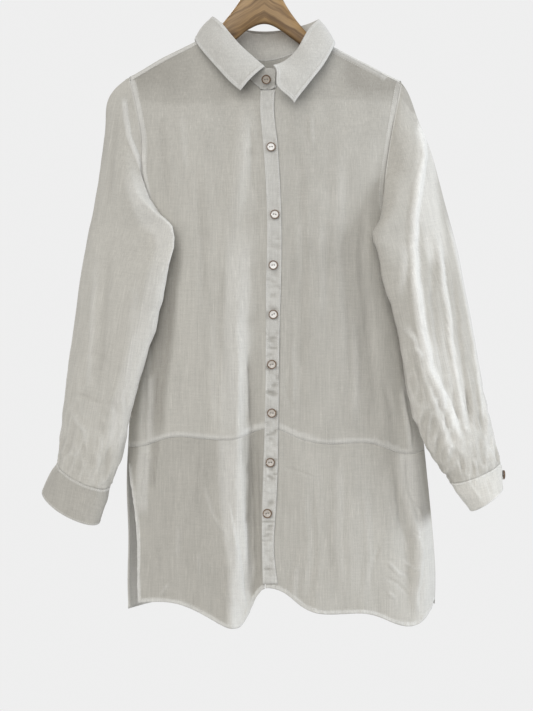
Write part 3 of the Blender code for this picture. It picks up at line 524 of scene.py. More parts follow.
def addStitch(group, middle, way, up, length=None, thick=None):
    length = length or stitching["length"]
    thick = thick or stitching["thick"]
    across = np.cross(way, up)
    points = stitchPoints.setdefault(group, [])
    faces = stitchFaces.setdefault(group, [])
    base = len(points)
    points.append(middle - way * length / 2 - up * thick)
    for share in (-0.32, 0.32):
        for side, rise in ((1, 0), (0, 1), (-1, 0), (0, -1)):
            points.append(middle + way * length * share + (across * side + up * rise) * thick)
    points.append(middle + way * length / 2 - up * thick)
    for turn in range(4):
        after = (turn + 1) % 4
        faces.append((base, base + 1 + after, base + 1 + turn))
        faces.append((base + 1 + turn, base + 1 + after, base + 5 + after, base + 5 + turn))
        faces.append((base + 9, base + 5 + turn, base + 5 + after))


def surfaceTree(piece):
    mesh = piece.data
    mesh.calc_loop_triangles()
    return BVHTree.FromPolygons([v.co / mm for v in mesh.vertices],
                                [tuple(t.vertices) for t in mesh.loop_triangles])


def stitchLine(group, tree, spots):
    step = stitching["length"] + stitching["gap"]
    stations = along(spots, step)
    for before, spot, after in zip(stations, stations[1:], stations[2:]):
        place, up, _, _ = tree.find_nearest(Vector(spot))
        if place is None:
            continue
        way = Vector(after - before)
        way = way - up * way.dot(up)
        if way.length < 1e-6:
            continue
        way.normalize()
        lifted = np.array(place + up * stitching["lift"])
        addStitch(group, lifted, np.array(way), np.array(up))


def inset(piece, points, line, distance):
    _, inside = edgeRuns(piece)
    moved = []
    for index in line:
        near = inside.get(index) or [index]
        way = points[near].mean(axis=0) - points[index]
        size = np.linalg.norm(way)
        moved.append(points[index] + way / max(size, 1e-6) * distance)
    moved = np.array(moved)
    for _ in range(6):
        moved[1:-1] = (moved[:-2] + 2 * moved[1:-1] + moved[2:]) / 4
    return moved


# Cloth pieces

wornPieces = {}
seamSpots = {}


def meetSeams(piece, points, meets):
    for wanted, targets, reach in meets:
        spots = np.concatenate([seamSpots[target] for target in targets])
        tree = KDTree(len(spots))
        for index, spot in enumerate(spots):
            tree.insert(spot, index)
        tree.balance()
        for line in edgeLines(piece, points, wanted):
            own = points[line]
            pulls = np.zeros_like(own)
            for index, point in enumerate(own):
                spot, _, gap = tree.find(point)
                if gap < reach:
                    pulls[index] = np.array(spot) - point
            ownTree = KDTree(len(own))
            for index, point in enumerate(own):
                ownTree.insert(point, index)
            ownTree.balance()
            moved = points.copy()
            for index, point in enumerate(points):
                _, near, gap = ownTree.find(point)
                if gap < 2.5 * reach:
                    moved[index] = point + pulls[near] * (1.0 - smooth(gap / (2.5 * reach)))
            points = moved
    return points


def foldOver(piece, points, fold):
    levels = np.array([row[0] for row in fold["edge"]], float)
    wants = np.array([row[1] for row in fold["edge"]], float)
    hand = fold["hand"]
    top = [line for line in edgeLines(piece, points, armEdge)]
    spots = np.concatenate([along(points[line], 2.0) for line in top])
    free = gapTo(points, spots) / fold["free"]
    stations = np.arange(levels.min(), levels.max() + 1.0, 5.0)
    reached = []
    for station in stations:
        near = (np.abs(points[:, 2] - station) < 5.0) & (free > 1.0)
        reached.append((points[near, 0] * hand).max() * hand if near.any() else 0.0)
    reached = np.array(reached)
    for _ in range(2):
        reached[1:-1] = (reached[:-2] + 2 * reached[1:-1] + reached[2:]) / 4
    now = np.interp(points[:, 2], stations, reached)
    want = np.interp(points[:, 2], levels[::-1], wants[::-1])
    share = smooth(1.0 - np.abs(points[:, 0] - now) / fold["reach"]) * smooth(free)
    share *= smooth((levels.max() - points[:, 2]) / 20.0) * smooth((points[:, 2] - levels.min()) / 40.0)
    moved = points.copy()
    moved[:, 0] += (want - now) * share
    moved[:, 1] -= fold["forward"] * np.clip((want - now) * hand, 0.0, 20.0) / 20.0 * share
    return moved


def shiftPoints(points, shifts):
    moved = points.copy()
    for x, z, reach, right, up, hand in shifts:
        gap = np.hypot(points[:, 0] - x, points[:, 2] - z) / reach
        share = smooth(1.0 - gap)
        if hand:
            share *= smooth(hand * points[:, 1] / 8.0)
        moved[:, 0] += right * share
        moved[:, 2] += up * share
    return moved


def facingEdge(direction, least=0.55, box=None):
    direction = np.array(direction, float)

    def wanted(point, out):
        if box and not all(low <= c <= high for c, (low, high) in zip(point, box)):
            return False
        return float(out @ direction) > least
    return wanted


def makeCloth(node, settings):
    piece = outerFace(node, f"{node}_cloth", settings.get("side"))
    refine(piece, settings["levels"])
    points = pointsOf(piece)
    if "fold" in settings:
        points = foldOver(piece, points, settings["fold"])
    points = shiftPoints(points, settings.get("shifts", []))
    points = meetSeams(piece, points, settings.get("meets", []))
    movePoints(piece, points)
    normals = normalsOf(piece)
    flank = np.clip(np.abs(normals[:, 0]) * 1.6 - 0.4, 0.0, 1.0)
    seed = settings["seed"]
    drift = wobble(points, 28.0, seed) * settings.get("drift", 1.6)
    flat = points[:, [0, 2]] + drift[:, [0, 2]]
    height = np.zeros(len(points))
    fronts = smooth(-normals[:, 1] * 1.6)
    backs = smooth(normals[:, 1] * 1.6)
    for crease in settings.get("creases", []):
        height += creaseHeight(flat, crease) * (fronts if settings.get("tube") else 1.0)
    for crease in settings.get("backCreases", []):
        height += creaseHeight(flat, crease) * backs
    lowCrumple = settings.get("lowCrumple")
    if lowCrumple:
        top, end, scale, amount, stretch = lowCrumple
        share = smooth((points[:, 2] - top) / (end - top))
        ruffle = np.abs(crumple(points, scale, seed + 3.0, stretch))
        height += (0.22 - ruffle) * amount * share
    # Painted highlight on crease ridges and painted shade in crease troughs, by crease height; this strength
    # changes only colour.
    reliefShading = settings.get("reliefShading", 0.0)
    ridgeHighlight = np.clip(height * reliefShading, 0.0, 0.95)
    troughShade = np.clip(-height * reliefShading, 0.0, 0.9)
    for scale, amount, stretch in settings["crumples"]:
        height += crumple(points, scale, seed, stretch) * amount
    doubled = ridgeHighlight
    # Painted shade: each piece's sheer amount darkens all of it, and on the upper fronts the yoke shade
    # function adds more.
    behind = np.maximum(troughShade, settings.get("sheerShade", 0.0))
    if "behind" in settings:
        behind = np.maximum(behind, settings["behind"](points, drift))
    bands = []
    hem = np.zeros(len(points))
    for band in settings.get("bands", []):
        lines = edgeLines(piece, points, band["edge"])
        for line in lines:
            spots = along(points[line], 1.0)
            gap = gapTo(points, spots) + drift[:, 0] * 0.25
            share = 1.0 - smooth((gap - band["width"] + 0.6) / 1.2)
            pucker = np.array([noise.noise(Vector((x / 5.0, y / 5.0 + seed, z / 5.0)))
                               for x, y, z in points]) if band.get("pucker") else 0.0
            hem += share * (band.get("raise", 0.35) + pucker * band.get("pucker", 0.0))
            doubled = np.maximum(doubled, share * band.get("light", 0.8))
            bands.append((band, line))
    # Pale lines: painted highlights along ridges and folds, partly the paler look of cloth folded double.
    for extra in settings.get("pale", []):
        doubled = np.maximum(doubled, np.clip(creaseHeight(flat, extra, True), 0.0, 1.0))
    # Dim lines: painted shade in valleys, beside the sleeves and next to the placket.
    for extra in settings.get("dim", []):
        behind = np.maximum(behind, np.clip(creaseHeight(flat, extra, True), 0.0, 1.0))
    # Painted shade: troughs lose their paleness.
    doubled = doubled * (1.0 - 0.75 * troughShade)
    keep = np.ones(len(points))
    for line in edgeLines(piece, points, anyEdge):
        spots = along(points[line], 2.0)
        keep = np.minimum(keep, 0.25 + 0.75 * smooth(gapTo(points, spots) / 6.0))
    if settings.get("freeEdges"):
        keep[:] = 1.0
    points = points + normals * (height * keep + hem * np.maximum(keep, 0.65))[:, None]
    movePoints(piece, points)
    edges = edgeLines(piece, points, anyEdge)
    seamSpots[node] = np.concatenate([along(points[line], 0.7) for line in edges])
    paintPoints(piece, "doubled", doubled)
    paintPoints(piece, "behind", behind)
    paintPoints(piece, "flank", flank)
    tree = surfaceTree(piece)
    for band, line in bands:
        for distance in band.get("rows", []):
            stitchLine(settings["stitches"], tree, inset(piece, points, line, distance))
    for row in settings.get("rows", []):
        stitchLine(settings["stitches"], tree, [(x, settings.get("rowDepth", -60), z) for x, z in row])
    applyModifier(piece, "SOLIDIFY", {"thickness": settings["thick"] * mm, "offset": -1.0})
    piece.data.shade_smooth()
    piece.data.materials.append(paints[settings["paint"]])
    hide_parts(node)
    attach(piece, "root")
    wornPieces[node] = piece
    print(node, "cloth made,", len(piece.data.polygons), "faces")
    return piece


def sideSeam(point, out):
    return point[2] < -432 and abs(point[0]) > 150 and abs(out[2]) < 0.6


def lowEdge(point, out):
    return out[2] < -0.55


def highEdge(point, out):
    return out[2] > 0.55


def anyEdge(point, out):
    return True


def armEdge(point, out):
    return point[2] > -436


def wristEdge(point, out):
    return point[2] < -650


def sleeveSideEdge(point, out):
    return abs(out[0]) > 0.5 and point[2] > -432 and abs(point[0]) > 70


def yokeShadow(points, drift):  # painted shade, stronger towards +x: darker above the yoke line, along the yoke seam and at the shoulder ends, for the shadowed inside, yoke and wooden hanger seen through the thin front
    low = points[:, 2] + drift[:, 2] * 0.8
    line = smooth((low + 251.0) / 7.0)
    seam = np.exp(-((low + 250.0) / 3.5) ** 2)
    patch = 0.6 + 0.4 * np.sin(points[:, 0] / 23.0 + drift[:, 0])
    tip = smooth((np.abs(points[:, 0]) - 85.0) / 60.0) * smooth((low + 250.0) / 40.0)
    left = smooth((points[:, 0] - 10.0) / 60.0)
    tip *= 0.45 + 0.45 * left
    return np.clip(line * (0.34 + 0.2 * left) + seam * 0.34 * patch + tip, 0.0, 1.0)


softCrumples = [(60.0, 1.3, (0.7, 1.0, 1.6)), (22.0, 0.55, (0.8, 1.0, 1.5))]

# Besides their shape, the pieces below set painted highlights and painted shade: the crease shading strength,
# the overall darkening, the pale lines and the dim lines.
frontRightUpper = {
    "levels": 3, "seed": 11.0, "thick": 0.8, "paint": "body", "side": (0, -1, 0), "reliefShading": 0.14,
    "shifts": [(-152, -352, 62, -6.5, 0.0, 0)],
    "creases": [
        ([(-22, -573), (-18, -654), (-15, -697)], (4, 9), -2.6, 0.35),
        ([(-26, -249), (-33, -357), (-44, -438)], 14, 1.6),
        ([(-18, -269), (-15, -384)], 5, -1.2),
        ([(-90, -316), (-81, -451), (-79, -560)], 9, -1.5),
        ([(-68, -519), (-65, -708)], 8, 1.5),
        ([(-154, -614), (-156, -668), (-158, -722)], (4, 12), 3.2, 0.15),
        ([(-57, -451), (-54, -573), (-52, -703)], 7, -1.3),
        ([(-114, -262), (-106, -357)], 7, 1.0),
        ([(-141, -262), (-133, -343), (-125, -397)], 8, -1.4),
        ([(-119, -465), (-141, -627), (-146, -716)], 7, -2.2),
        ([(-33, -560), (-36, -695)], 5, 0.9),
    ],
    "meets": [(sideSeam, ["back"], 3.0)],
    "pale": [([(-34, -400), (-38, -540), (-43, -640), (-45, -745)], (20, 23), 0.45, 0.25),
             ([(-160, -560), (-160, -760)], (14, 9), 0.35, 0.2)],
    "dim": [([(-126, -400), (-132, -480), (-140, -560), (-150, -640), (-158, -740)], (14, 24), 0.95, 0.2),
            ([(-10, -560), (-8, -740)], 9, 0.4, 0.4)],
    "bands": [
        {"edge": lowEdge, "width": 8.0, "light": 0.55, "raise": 0.2, "rows": [1.2]},
        {"edge": sleeveSideEdge, "width": 7.0, "light": 0.75, "raise": 0.3, "rows": [7.0]},
    ],
    "behind": yokeShadow, "crumples": softCrumples, "stitches": "body_stitches",
    "flat": (0.24, 0.54, 0.099), "rests": ["hanger_body"],
}
frontLeftUpper = {
    "levels": 3, "seed": 23.0, "thick": 0.8, "paint": "body", "side": (0, -1, 0), "reliefShading": 0.14,
    "sheerShade": 0.28,
    "creases": [
        ([(137, -330), (132, -465), (146, -600), (156, -695)], 10, -1.8),
        ([(102, -276), (100, -465), (109, -681)], 12, 1.2),
        ([(121, -519), (124, -627), (119, -708)], 8, 1.3),
        ([(48, -316), (52, -492), (48, -681)], 9, -1.2),
        ([(187, -637), (198, -700), (200, -724)], (7, 3), 2.4, 0.2),
        ([(162, -627), (178, -695)], 6, -1.3),
        ([(37, -560), (40, -681)], 5, 0.9),
        ([(75, -384), (78, -560)], 9, 0.9),
        ([(23, -627), (43, -670)], 4, -0.9),
        ([(62, -262), (64, -316)], 5, 0.8),
    ],
    "meets": [(sideSeam, ["back"], 3.0)],
    "pale": [([(193, -600), (206, -700), (212, -780)], 16, 0.45, 0.3)],
    "dim": [([(138, -330), (134, -465), (150, -640), (170, -760)], 18, 0.3, 0.3)],
    "bands": [
        {"edge": lowEdge, "width": 8.0, "light": 0.45, "raise": 0.2, "rows": [1.2]},
        {"edge": sleeveSideEdge, "width": 7.0, "light": 0.35, "raise": 0.2, "rows": [7.0]},
    ],
    "behind": yokeShadow, "crumples": softCrumples, "stitches": "body_stitches",
    "flat": (0.24, 0.54, 0.099), "rests": ["hanger_body"],
}
frontRightLower = {
    "levels": 4, "seed": 37.0, "thick": 0.8, "paint": "body", "side": (0, -1, 0), "reliefShading": 0.16,
    "sheerShade": 0.42,
    "creases": [
        ([(-157, -719), (-160, -762), (-167, -789)], (4, 10), 2.2, 0.2),
        ([(-50, -710), (-49, -789), (-33, -870), (-25, -938)], (11, 4), 2.0, 0.1),
        ([(-14, -700), (-10, -789), (-7, -870), (-10, -911)], 6, -2.6, 0.15),
        ([(-83, -714), (-87, -762), (-91, -803)], 5, -1.2),
        ([(-83, -762), (-68, -808), (-38, -851)], 5, 1.3),
        ([(-63, -851), (-44, -932)], 4, -1.3),
        ([(-88, -855), (-85, -893)], 4, 1.0),
        ([(-126, -897), (-141, -920)], 4, 1.1),
        ([(-167, -749), (-164, -772), (-168, -785)], 3, 1.3),
        ([(-160, -870), (-134, -850)], 5, -0.9),
        ([(-114, -816), (-117, -870)], 6, 0.9),
        ([(-30, -722), (-29, -816), (-19, -911)], 6, 1.3),
    ],
    "meets": [(highEdge, ["front_right_upper"], 3.0)],
    "pale": [([(-45, -660), (-42, -789), (-34, -850), (-30, -880), (-34, -990)], (22, 19), 0.60, 0.1),
             ([(-162, -700), (-164, -760), (-166, -815)], (12, 10), 0.50, 0.2)],
    "dim": [([(-9, -640), (-9, -789), (-6, -870), (-9, -960)], (9, 12), 0.78, 0.1),
            ([(-146, -640), (-147, -720), (-152, -790)], (8, 7), 0.80, 0.2)],
    "bands": [
        {"edge": lowEdge, "width": 5.5, "light": 0.75, "raise": 0.6, "pucker": 1.6, "rows": [4.4]},
        {"edge": facingEdge((-1, 0, 0), 0.6, ((-250, -120), (-90, 90), (-960, -745))),
         "width": 4.5, "light": 0.95, "raise": 0.5, "pucker": 1.8, "rows": [3.2]},
    ],
    "crumples": softCrumples, "stitches": "body_stitches", "freeEdges": False,
    "flat": (0.23, 0.25, 0.046), "rests": ["front_right_upper"],
}
frontLeftLower = {
    "levels": 4, "seed": 41.0, "thick": 0.8, "paint": "body", "side": (0, -1, 0), "reliefShading": 0.16,
    "sheerShade": 0.28,
    "creases": [
        ([(187, -722), (190, -777), (201, -808), (214, -864), (206, -912), (204, -946)],
         (13, 6), 2.2, 0.1),
        ([(23, -742), (48, -750), (71, -759)], 3, -0.8),
        ([(100, -722), (98, -843), (105, -924)], 10, 1.2),
        ([(62, -749), (66, -870), (56, -941)], 9, -1.3),
        ([(177, -749), (183, -816), (197, -857)], 5, -1.4),
        ([(163, -870), (181, -888), (193, -893)], 4, 1.4),
        ([(160, -891), (179, -901), (197, -919)], 4, -1.3),
        ([(163, -911), (177, -922)], 4, 1.0),
        ([(194, -789), (210, -803), (216, -816)], 4, 1.2),
        ([(197, -830), (216, -843)], 4, -1.0),
        ([(136, -749), (140, -870), (132, -938)], 8, 0.9),
        ([(43, -870), (37, -938)], 6, 1.1),
        ([(183, -870), (213, -886)], 3.5, 1.1),
        ([(156, -850), (146, -870)], 4, -0.9),
    ],
    "meets": [(highEdge, ["front_left_upper"], 3.0), (sideSeam, ["back"], 3.0)],
    "pale": [([(196, -690), (206, -770), (222, -840), (224, -900), (220, -990)], (24, 14), 0.5, 0.15)],
    "dim": [([(24, -690), (22, -800), (18, -960)], 8, 0.35, 0.2)],
    "bands": [
        {"edge": lowEdge, "width": 5.5, "light": 0.7, "raise": 0.6, "pucker": 1.6, "rows": [4.4]},
    ],
    "crumples": softCrumples, "stitches": "body_stitches",
    "flat": (0.26, 0.25, 0.056), "rests": ["front_left_upper"],
}
backPanel = {
    "levels": 3, "seed": 53.0, "thick": 0.8, "paint": "body", "side": (0, 1, 0), "reliefShading": 0.22,
    "pale": [([(-184, -715), (-186, -860), (-184, -990)], (20, 24), 0.45, 0.2)],
    "creases": [
        ([(-60, -280), (-72, -480), (-80, -700)], 12, 2.0),
        ([(-95, -300), (-100, -520), (-118, -760)], 9, -1.8),
        ([(-20, -250), (-24, -420), (-12, -620)], 8, 1.5),
        ([(12, -250), (18, -420), (10, -640)], 7, -1.3),
        ([(66, -290), (84, -500), (92, -720)], 12, 2.0),
        ([(110, -320), (118, -560), (140, -820)], 8, -1.7),
        ([(-140, -460), (-130, -640), (-134, -880)], 9, 1.6),
        ([(150, -470), (160, -680), (176, -900)], 8, 1.6),
        ([(-60, -740), (-46, -850), (-52, -915)], 8, 1.4),
        ([(40, -700), (52, -820), (46, -905)], 8, -1.4),
        ([(-10, -760), (6, -860), (0, -905)], 9, 1.2),
        ([(-170, -560), (-150, -600)], 5, 1.0),
        ([(176, -610), (154, -650)], 5, 1.0),
        ([(186, -860), (206, -880)], 4, 1.2),
        ([(-168, -850), (-146, -872)], 4, 1.2),
    ],
    "bands": [
        {"edge": lowEdge, "width": 5.5, "light": 0.7, "raise": 0.6, "pucker": 1.6, "rows": [4.4]},
        {"edge": highEdge, "width": 6.0, "light": 0.5, "raise": 0.3, "rows": [1.5]},
    ],
    "crumples": softCrumples, "stitches": "back_stitches",
    "flat": (0.48, 0.70, 0.275), "rests": ["yoke"],
}
yokePiece = {
    "levels": 3, "seed": 61.0, "thick": 0.8, "paint": "body", "side": (0, 0.6, 0.8),
    "shifts": [(0, -184, 66, 0.0, -8.0, 1)],
    "creases": [
        ([(-120, -186), (-104, -236)], 7, 0.8),
        ([(118, -192), (100, -238)], 7, 0.8),
        ([(-40, -190), (-44, -236)], 6, -0.7),
        ([(36, -192), (44, -238)], 6, -0.7),
    ],
    "meets": [(anyEdge, ["front_right_upper", "front_left_upper", "back"], 2.5)],
    "bands": [
        {"edge": lowEdge, "width": 1.6, "light": 0.4, "raise": 0.2, "rows": [1.0]},
        {"edge": facingEdge((0, -1, 0), 0.3), "width": 6.0, "light": 0.8, "raise": 0.25, "rows": [1.4]},
    ],
    "crumples": [(40.0, 0.7, (1.0, 1.0, 1.0))], "stitches": "back_stitches",
    "flat": (0.40, 0.09, 0.026), "rests": ["hanger_body"],
}
placketBand = {
    "levels": 3, "seed": 71.0, "thick": 1.1, "paint": "collar", "side": (0, -1, 0), "drift": 0.5,
    "reliefShading": 0.6, "lowCrumple": (-330.0, -640.0, 9.0, 3.4, (1.6, 1.0, 0.7)),
    "creases": [
        ([(-6, -262), (14, -258)], 3, -0.5, 0.2), ([(-3, -300), (16, -303)], 3, -0.4, 0.2),
        ([(4, -390), (20, -394)], 3, -0.4, 0.2), ([(4, -440), (22, -436)], 3, -0.5, 0.2),
        ([(2, -514), (22, -511)], 3.5, -0.6, 0.2), ([(2, -566), (20, -572)], 3, -0.5, 0.2),
        ([(2, -628), (20, -624)], 3.5, -0.7, 0.2), ([(2, -650), (20, -655)], 3, 0.7, 0.2),
        ([(1, -700), (19, -694)], 3.5, -0.9, 0.2), ([(1, -716), (19, -722)], 3, 0.9, 0.2),
        ([(0, -758), (18, -752)], 3.5, -1.0, 0.2), ([(-1, -772), (16, -779)], 3, 1.0, 0.2),
        ([(-2, -826), (13, -820)], 3.5, -1.0, 0.2), ([(-3, -838), (12, -846)], 3, 1.1, 0.2),
        ([(-3, -858), (13, -853)], 3.5, -1.1, 0.2), ([(-3, -873), (15, -879)], 3, 1.1, 0.2),
    ],
    "bands": [
        {"edge": facingEdge((-1, 0, 0)), "width": 2.4, "light": 1.0, "raise": 0.15, "rows": [2.6]},
        {"edge": facingEdge((1, 0, 0)), "width": 1.2, "light": 1.0, "raise": 0.1, "rows": [2.2]},
        {"edge": anyEdge, "width": 60.0, "light": 0.66, "raise": 0.0},
    ],
    "crumples": [(14.0, 0.5, (1.4, 1.0, 0.7))], "stitches": "placket_stitches",
    "flat": (0.021, 0.67, None), "rests": ["front_right_upper", "front_left_upper"],
}
standPiece = {
    "levels": 3, "seed": 83.0, "thick": 1.2, "paint": "collar", "drift": 0.3,
    "shifts": [(0, -184, 66, 0.0, -8.0, 1)],
    "creases": [],
    "meets": [(lowEdge, ["front_right_upper", "front_left_upper", "yoke"], 4.0)],
    "bands": [
        {"edge": lowEdge, "width": 2.6, "light": 1.0, "raise": 0.5},
        {"edge": anyEdge, "width": 60.0, "light": 0.45, "raise": 0.0},
    ],
    "crumples": [(16.0, 0.3, (1.0, 1.0, 1.0))], "stitches": "collar_stitches",
    "flat": (0.40, 0.030, 0.0103), "rests": ["yoke"],
}
collarPiece = {
    "levels": 3, "seed": 97.0, "thick": 1.4, "paint": "collar", "drift": 0.3,
    "shifts": [(27, -232, 28, -11.5, -2.0, -1)],
    "creases": [],
    "bands": [
        {"edge": lambda point, out: out[2] < -0.2 or abs(out[0]) > 0.8, "width": 4.6, "light": 1.0,
         "raise": 0.7, "rows": [4.0]},
        {"edge": anyEdge, "width": 60.0, "light": 0.62, "raise": 0.0},
    ],
    "crumples": [(26.0, 0.6, (1.0, 1.0, 1.0))], "stitches": "collar_stitches",
    "flat": (0.42, 0.058, 0.0215), "rests": ["collar_stand"],
}
sleeveRight = {
    "levels": 3, "seed": 103.0, "thick": 0.8, "paint": "sleeve_right", "tube": True, "reliefShading": 0.18,
    "shifts": [(-152, -352, 62, -6.5, 0.0, -1), (-216, -240, 52, -7.0, 2.0, 0)],
    "pale": [([(-191, -238), (-188, -270), (-183, -295), (-175, -316), (-166, -338), (-160, -357),
               (-156, -381), (-146, -402)], (5, 4), 0.85, 0.08),
             ([(-176, -330), (-166, -366), (-160, -385), (-150, -408), (-130, -424), (-126, -450),
               (-133, -476), (-142, -510), (-147, -537), (-152, -562), (-161, -582), (-175, -628),
               (-187, -670), (-192, -700), (-200, -740)], (24, 12), 0.55, 0.1)],
    "creases": [
        ([(-191, -238), (-188, -270), (-183, -295), (-175, -316), (-166, -338), (-160, -357)],
         (6, 4), 2.0, 0.15),
        ([(-198, -249), (-206, -316), (-214, -411)], 7, -1.4),
        ([(-227, -438), (-233, -560), (-238, -681)], 7, 1.6),
        ([(-208, -424), (-217, -560), (-222, -654)], 7, -1.4),
        ([(-168, -465), (-179, -573), (-195, -681)], 9, 1.2),
        ([(-268, -641), (-235, -651), (-187, -665)], 4, -1.2),
        ([(-265, -670), (-241, -695), (-238, -749)], (4, 7), 2.0),
        ([(-244, -708), (-238, -742)], 3, -1.3),
        ([(-268, -722), (-254, -730), (-246, -718)], 4, 1.3),
        ([(-217, -695), (-225, -749)], 5, 1.4),
        ([(-260, -688), (-244, -697)], 3.5, -1.1),
        ([(-206, -708), (-215, -746)], 4, -1.2),
        ([(-256, -587), (-208, -595)], 4, -0.8),
    ],
    "backCreases": [
        ([(-204, -300), (-216, -420), (-226, -560)], 8, 1.8),
        ([(-182, -420), (-196, -560), (-208, -680)], 7, -1.5),
        ([(-240, -480), (-248, -600), (-252, -700)], 6, 1.4),
        ([(-262, -650), (-236, -668), (-204, -662)], 4, -1.2),
        ([(-246, -700), (-240, -748)], 4, 1.4), ([(-222, -706), (-224, -750)], 4, -1.2),
        ([(-262, -704), (-262, -738)], 4, 1.2),
    ],
    "meets": [(armEdge, ["front_right_upper", "yoke", "back"], 6.0)],
    "fold": {"hand": 1, "reach": 75.0, "free": 9.0, "forward": 4.0, "edge": [
        (-316, -174), (-338, -166), (-357, -158), (-381, -152), (-404, -139), (-420, -122), (-436, -118),
        (-450, -118), (-476, -125), (-510, -134), (-537, -139), (-562, -144), (-582, -153),
        (-628, -167), (-670, -179), (-700, -184), (-740, -194)]},
    "bands": [
        {"edge": armEdge, "width": 1.4, "light": 0.4, "raise": 0.1},
        {"edge": wristEdge, "width": 9.0, "light": 0.0, "raise": 0.2, "pucker": 2.2},
    ],
    "lowCrumple": (-570.0, -720.0, 16.0, 4.0, (0.8, 0.8, 1.7)),
    "crumples": softCrumples, "stitches": "sleeve_stitches",
    "flat": (0.26, 0.56, 0.114), "rests": ["front_right_upper", "yoke"],
}
sleeveLeft = {
    "levels": 3, "seed": 113.0, "thick": 0.8, "paint": "sleeve_left", "tube": True, "reliefShading": 0.25,
    "sheerShade": 0.60, "shifts": [(208, -268, 56, -5.0, 0.0, 0)],
    "pale": [([(214, -270), (217, -303), (216, -373), (224, -427), (232, -480)], (12, 26), 0.50, 0.12),
             ([(212, -262), (215, -325), (207, -365), (200, -416), (198, -450), (202, -497), (209, -557),
               (220, -607), (231, -634), (246, -670), (262, -715)], (4, 12), 0.85, 0.06),
             ([(225, -420), (237, -455), (243, -497), (249, -558), (255, -607), (263, -654), (275, -708)],
              (4, 6), 0.75, 0.15),
             ([(248, -392), (264, -462), (276, -520), (287, -580), (295, -654), (303, -708)],
              (4, 6), 0.65, 0.15),
             ([(300, -600), (306, -660), (309, -740)], (12, 8), 0.5, 0.1),
             ([(225, -540), (248, -640), (272, -740), (276, -756)], (34, 34), 0.42, 0.3),
             ([(205, -560), (215, -600), (236, -670), (252, -725)], (5, 5), 0.5, 0.1)],
    "dim": [([(192, -232), (206, -252)], 15, 0.95, 0.0)],
    "creases": [
        ([(213, -265), (216, -325), (207, -365), (201, -416), (198, -450), (201, -497),
          (208, -557), (219, -607), (230, -634), (245, -670), (262, -715), (270, -738)],
         (7, 10), 4.2, 0.12),
        ([(224, -416), (236, -450), (241, -497), (248, -558), (254, -607), (262, -654), (274, -708)],
         (5, 9), 3.6, 0.15),
        ([(246, -392), (262, -462), (274, -520), (285, -580), (293, -654), (301, -708)],
         (4, 8), 2.6, 0.15),
        ([(229, -440), (226, -520), (236, -600), (250, -670)], 6, -2.6, 0.2),
        ([(256, -470), (262, -560), (272, -640), (284, -700)], 5, -2.4, 0.2),
        ([(179, -549), (201, -573), (217, -628), (235, -684), (246, -723), (258, -749)],
         (4, 9), 2.4, 0.15),
        ([(189, -438), (181, -519)], 8, 1.0),
        ([(210, -303), (202, -384), (194, -451)], 8, 1.2),
        ([(246, -438), (243, -519), (248, -587)], 5, -1.6),
        ([(198, -580), (213, -600)], 4, 1.5),
        ([(202, -546), (216, -566), (218, -587)], 4, -1.4),
        ([(233, -630), (254, -668), (262, -695)], 4, 1.8),
        ([(243, -708), (258, -724)], 3.5, 1.6),
        ([(286, -600), (290, -654), (294, -715)], 4.5, -1.8),
        ([(248, -654), (259, -676)], 3.5, -1.5),
        ([(267, -681), (278, -722)], 4, 1.7),
        ([(297, -654), (305, -697)], 4, 1.3),
        ([(259, -728), (268, -749)], 3.5, -1.5),
        ([(278, -728), (283, -746)], 3.5, 1.5),
        ([(295, -722), (294, -746)], 3.5, -1.4),
    ],
    "backCreases": [
        ([(214, -300), (228, -420), (246, -560)], 8, 1.8),
        ([(196, -420), (212, -560), (232, -680)], 7, -1.6),
        ([(258, -470), (274, -600), (290, -700)], 6, 1.6),
        ([(240, -660), (262, -676), (286, -668)], 4, -1.3),
        ([(262, -700), (272, -748)], 4, 1.5), ([(284, -700), (290, -748)], 4, -1.3),
        ([(246, -640), (256, -690)], 4, 1.2),
    ],
    "meets": [(armEdge, ["front_left_upper", "yoke", "back"], 6.0)],
    "fold": {"hand": -1, "reach": 75.0, "free": 10.0, "forward": 6.0, "edge": [
        (-341, 166), (-366, 164), (-390, 161), (-411, 156), (-430, 144), (-442, 145),
        (-453, 149), (-488, 157), (-520, 166), (-540, 172), (-560, 177), (-601, 184),
        (-640, 190), (-678, 199), (-722, 218), (-750, 236)]},
    "bands": [
        {"edge": armEdge, "width": 1.4, "light": 0.4, "raise": 0.1},
        {"edge": wristEdge, "width": 9.0, "light": 0.0, "raise": 0.2, "pucker": 2.2},
    ],
    "lowCrumple": (-520.0, -700.0, 13.0, 5.2, (0.8, 0.8, 2.2)),
    "crumples": softCrumples, "stitches": "sleeve_stitches",
    "flat": (0.26, 0.56, 0.114), "rests": ["front_left_upper", "yoke"],
}
cuffRight = {
    "levels": 3, "seed": 127.0, "thick": 1.2, "paint": "sleeve_right", "tube": True, "drift": 0.6,
    "sheerShade": 0.50,
    "creases": [([(-280, -790), (-240, -806)], 4, 0.7), ([(-262, -770), (-232, -784)], 4, -0.6)],
    "meets": [(highEdge, ["sleeve_right"], 7.0)],
    "bands": [
        {"edge": lowEdge, "width": 1.8, "light": 0.7, "raise": 0.25, "pucker": 0.5, "rows": [2.2]},
        {"edge": highEdge, "width": 3.4, "light": 0.5, "raise": 0.3, "pucker": 1.8, "rows": [2.4]},
    ],
    "crumples": [(18.0, 0.6, (1.0, 1.0, 1.0))], "stitches": "sleeve_stitches",
    "flat": (0.19, 0.062, 0.0111), "rests": ["sleeve_right"],
}
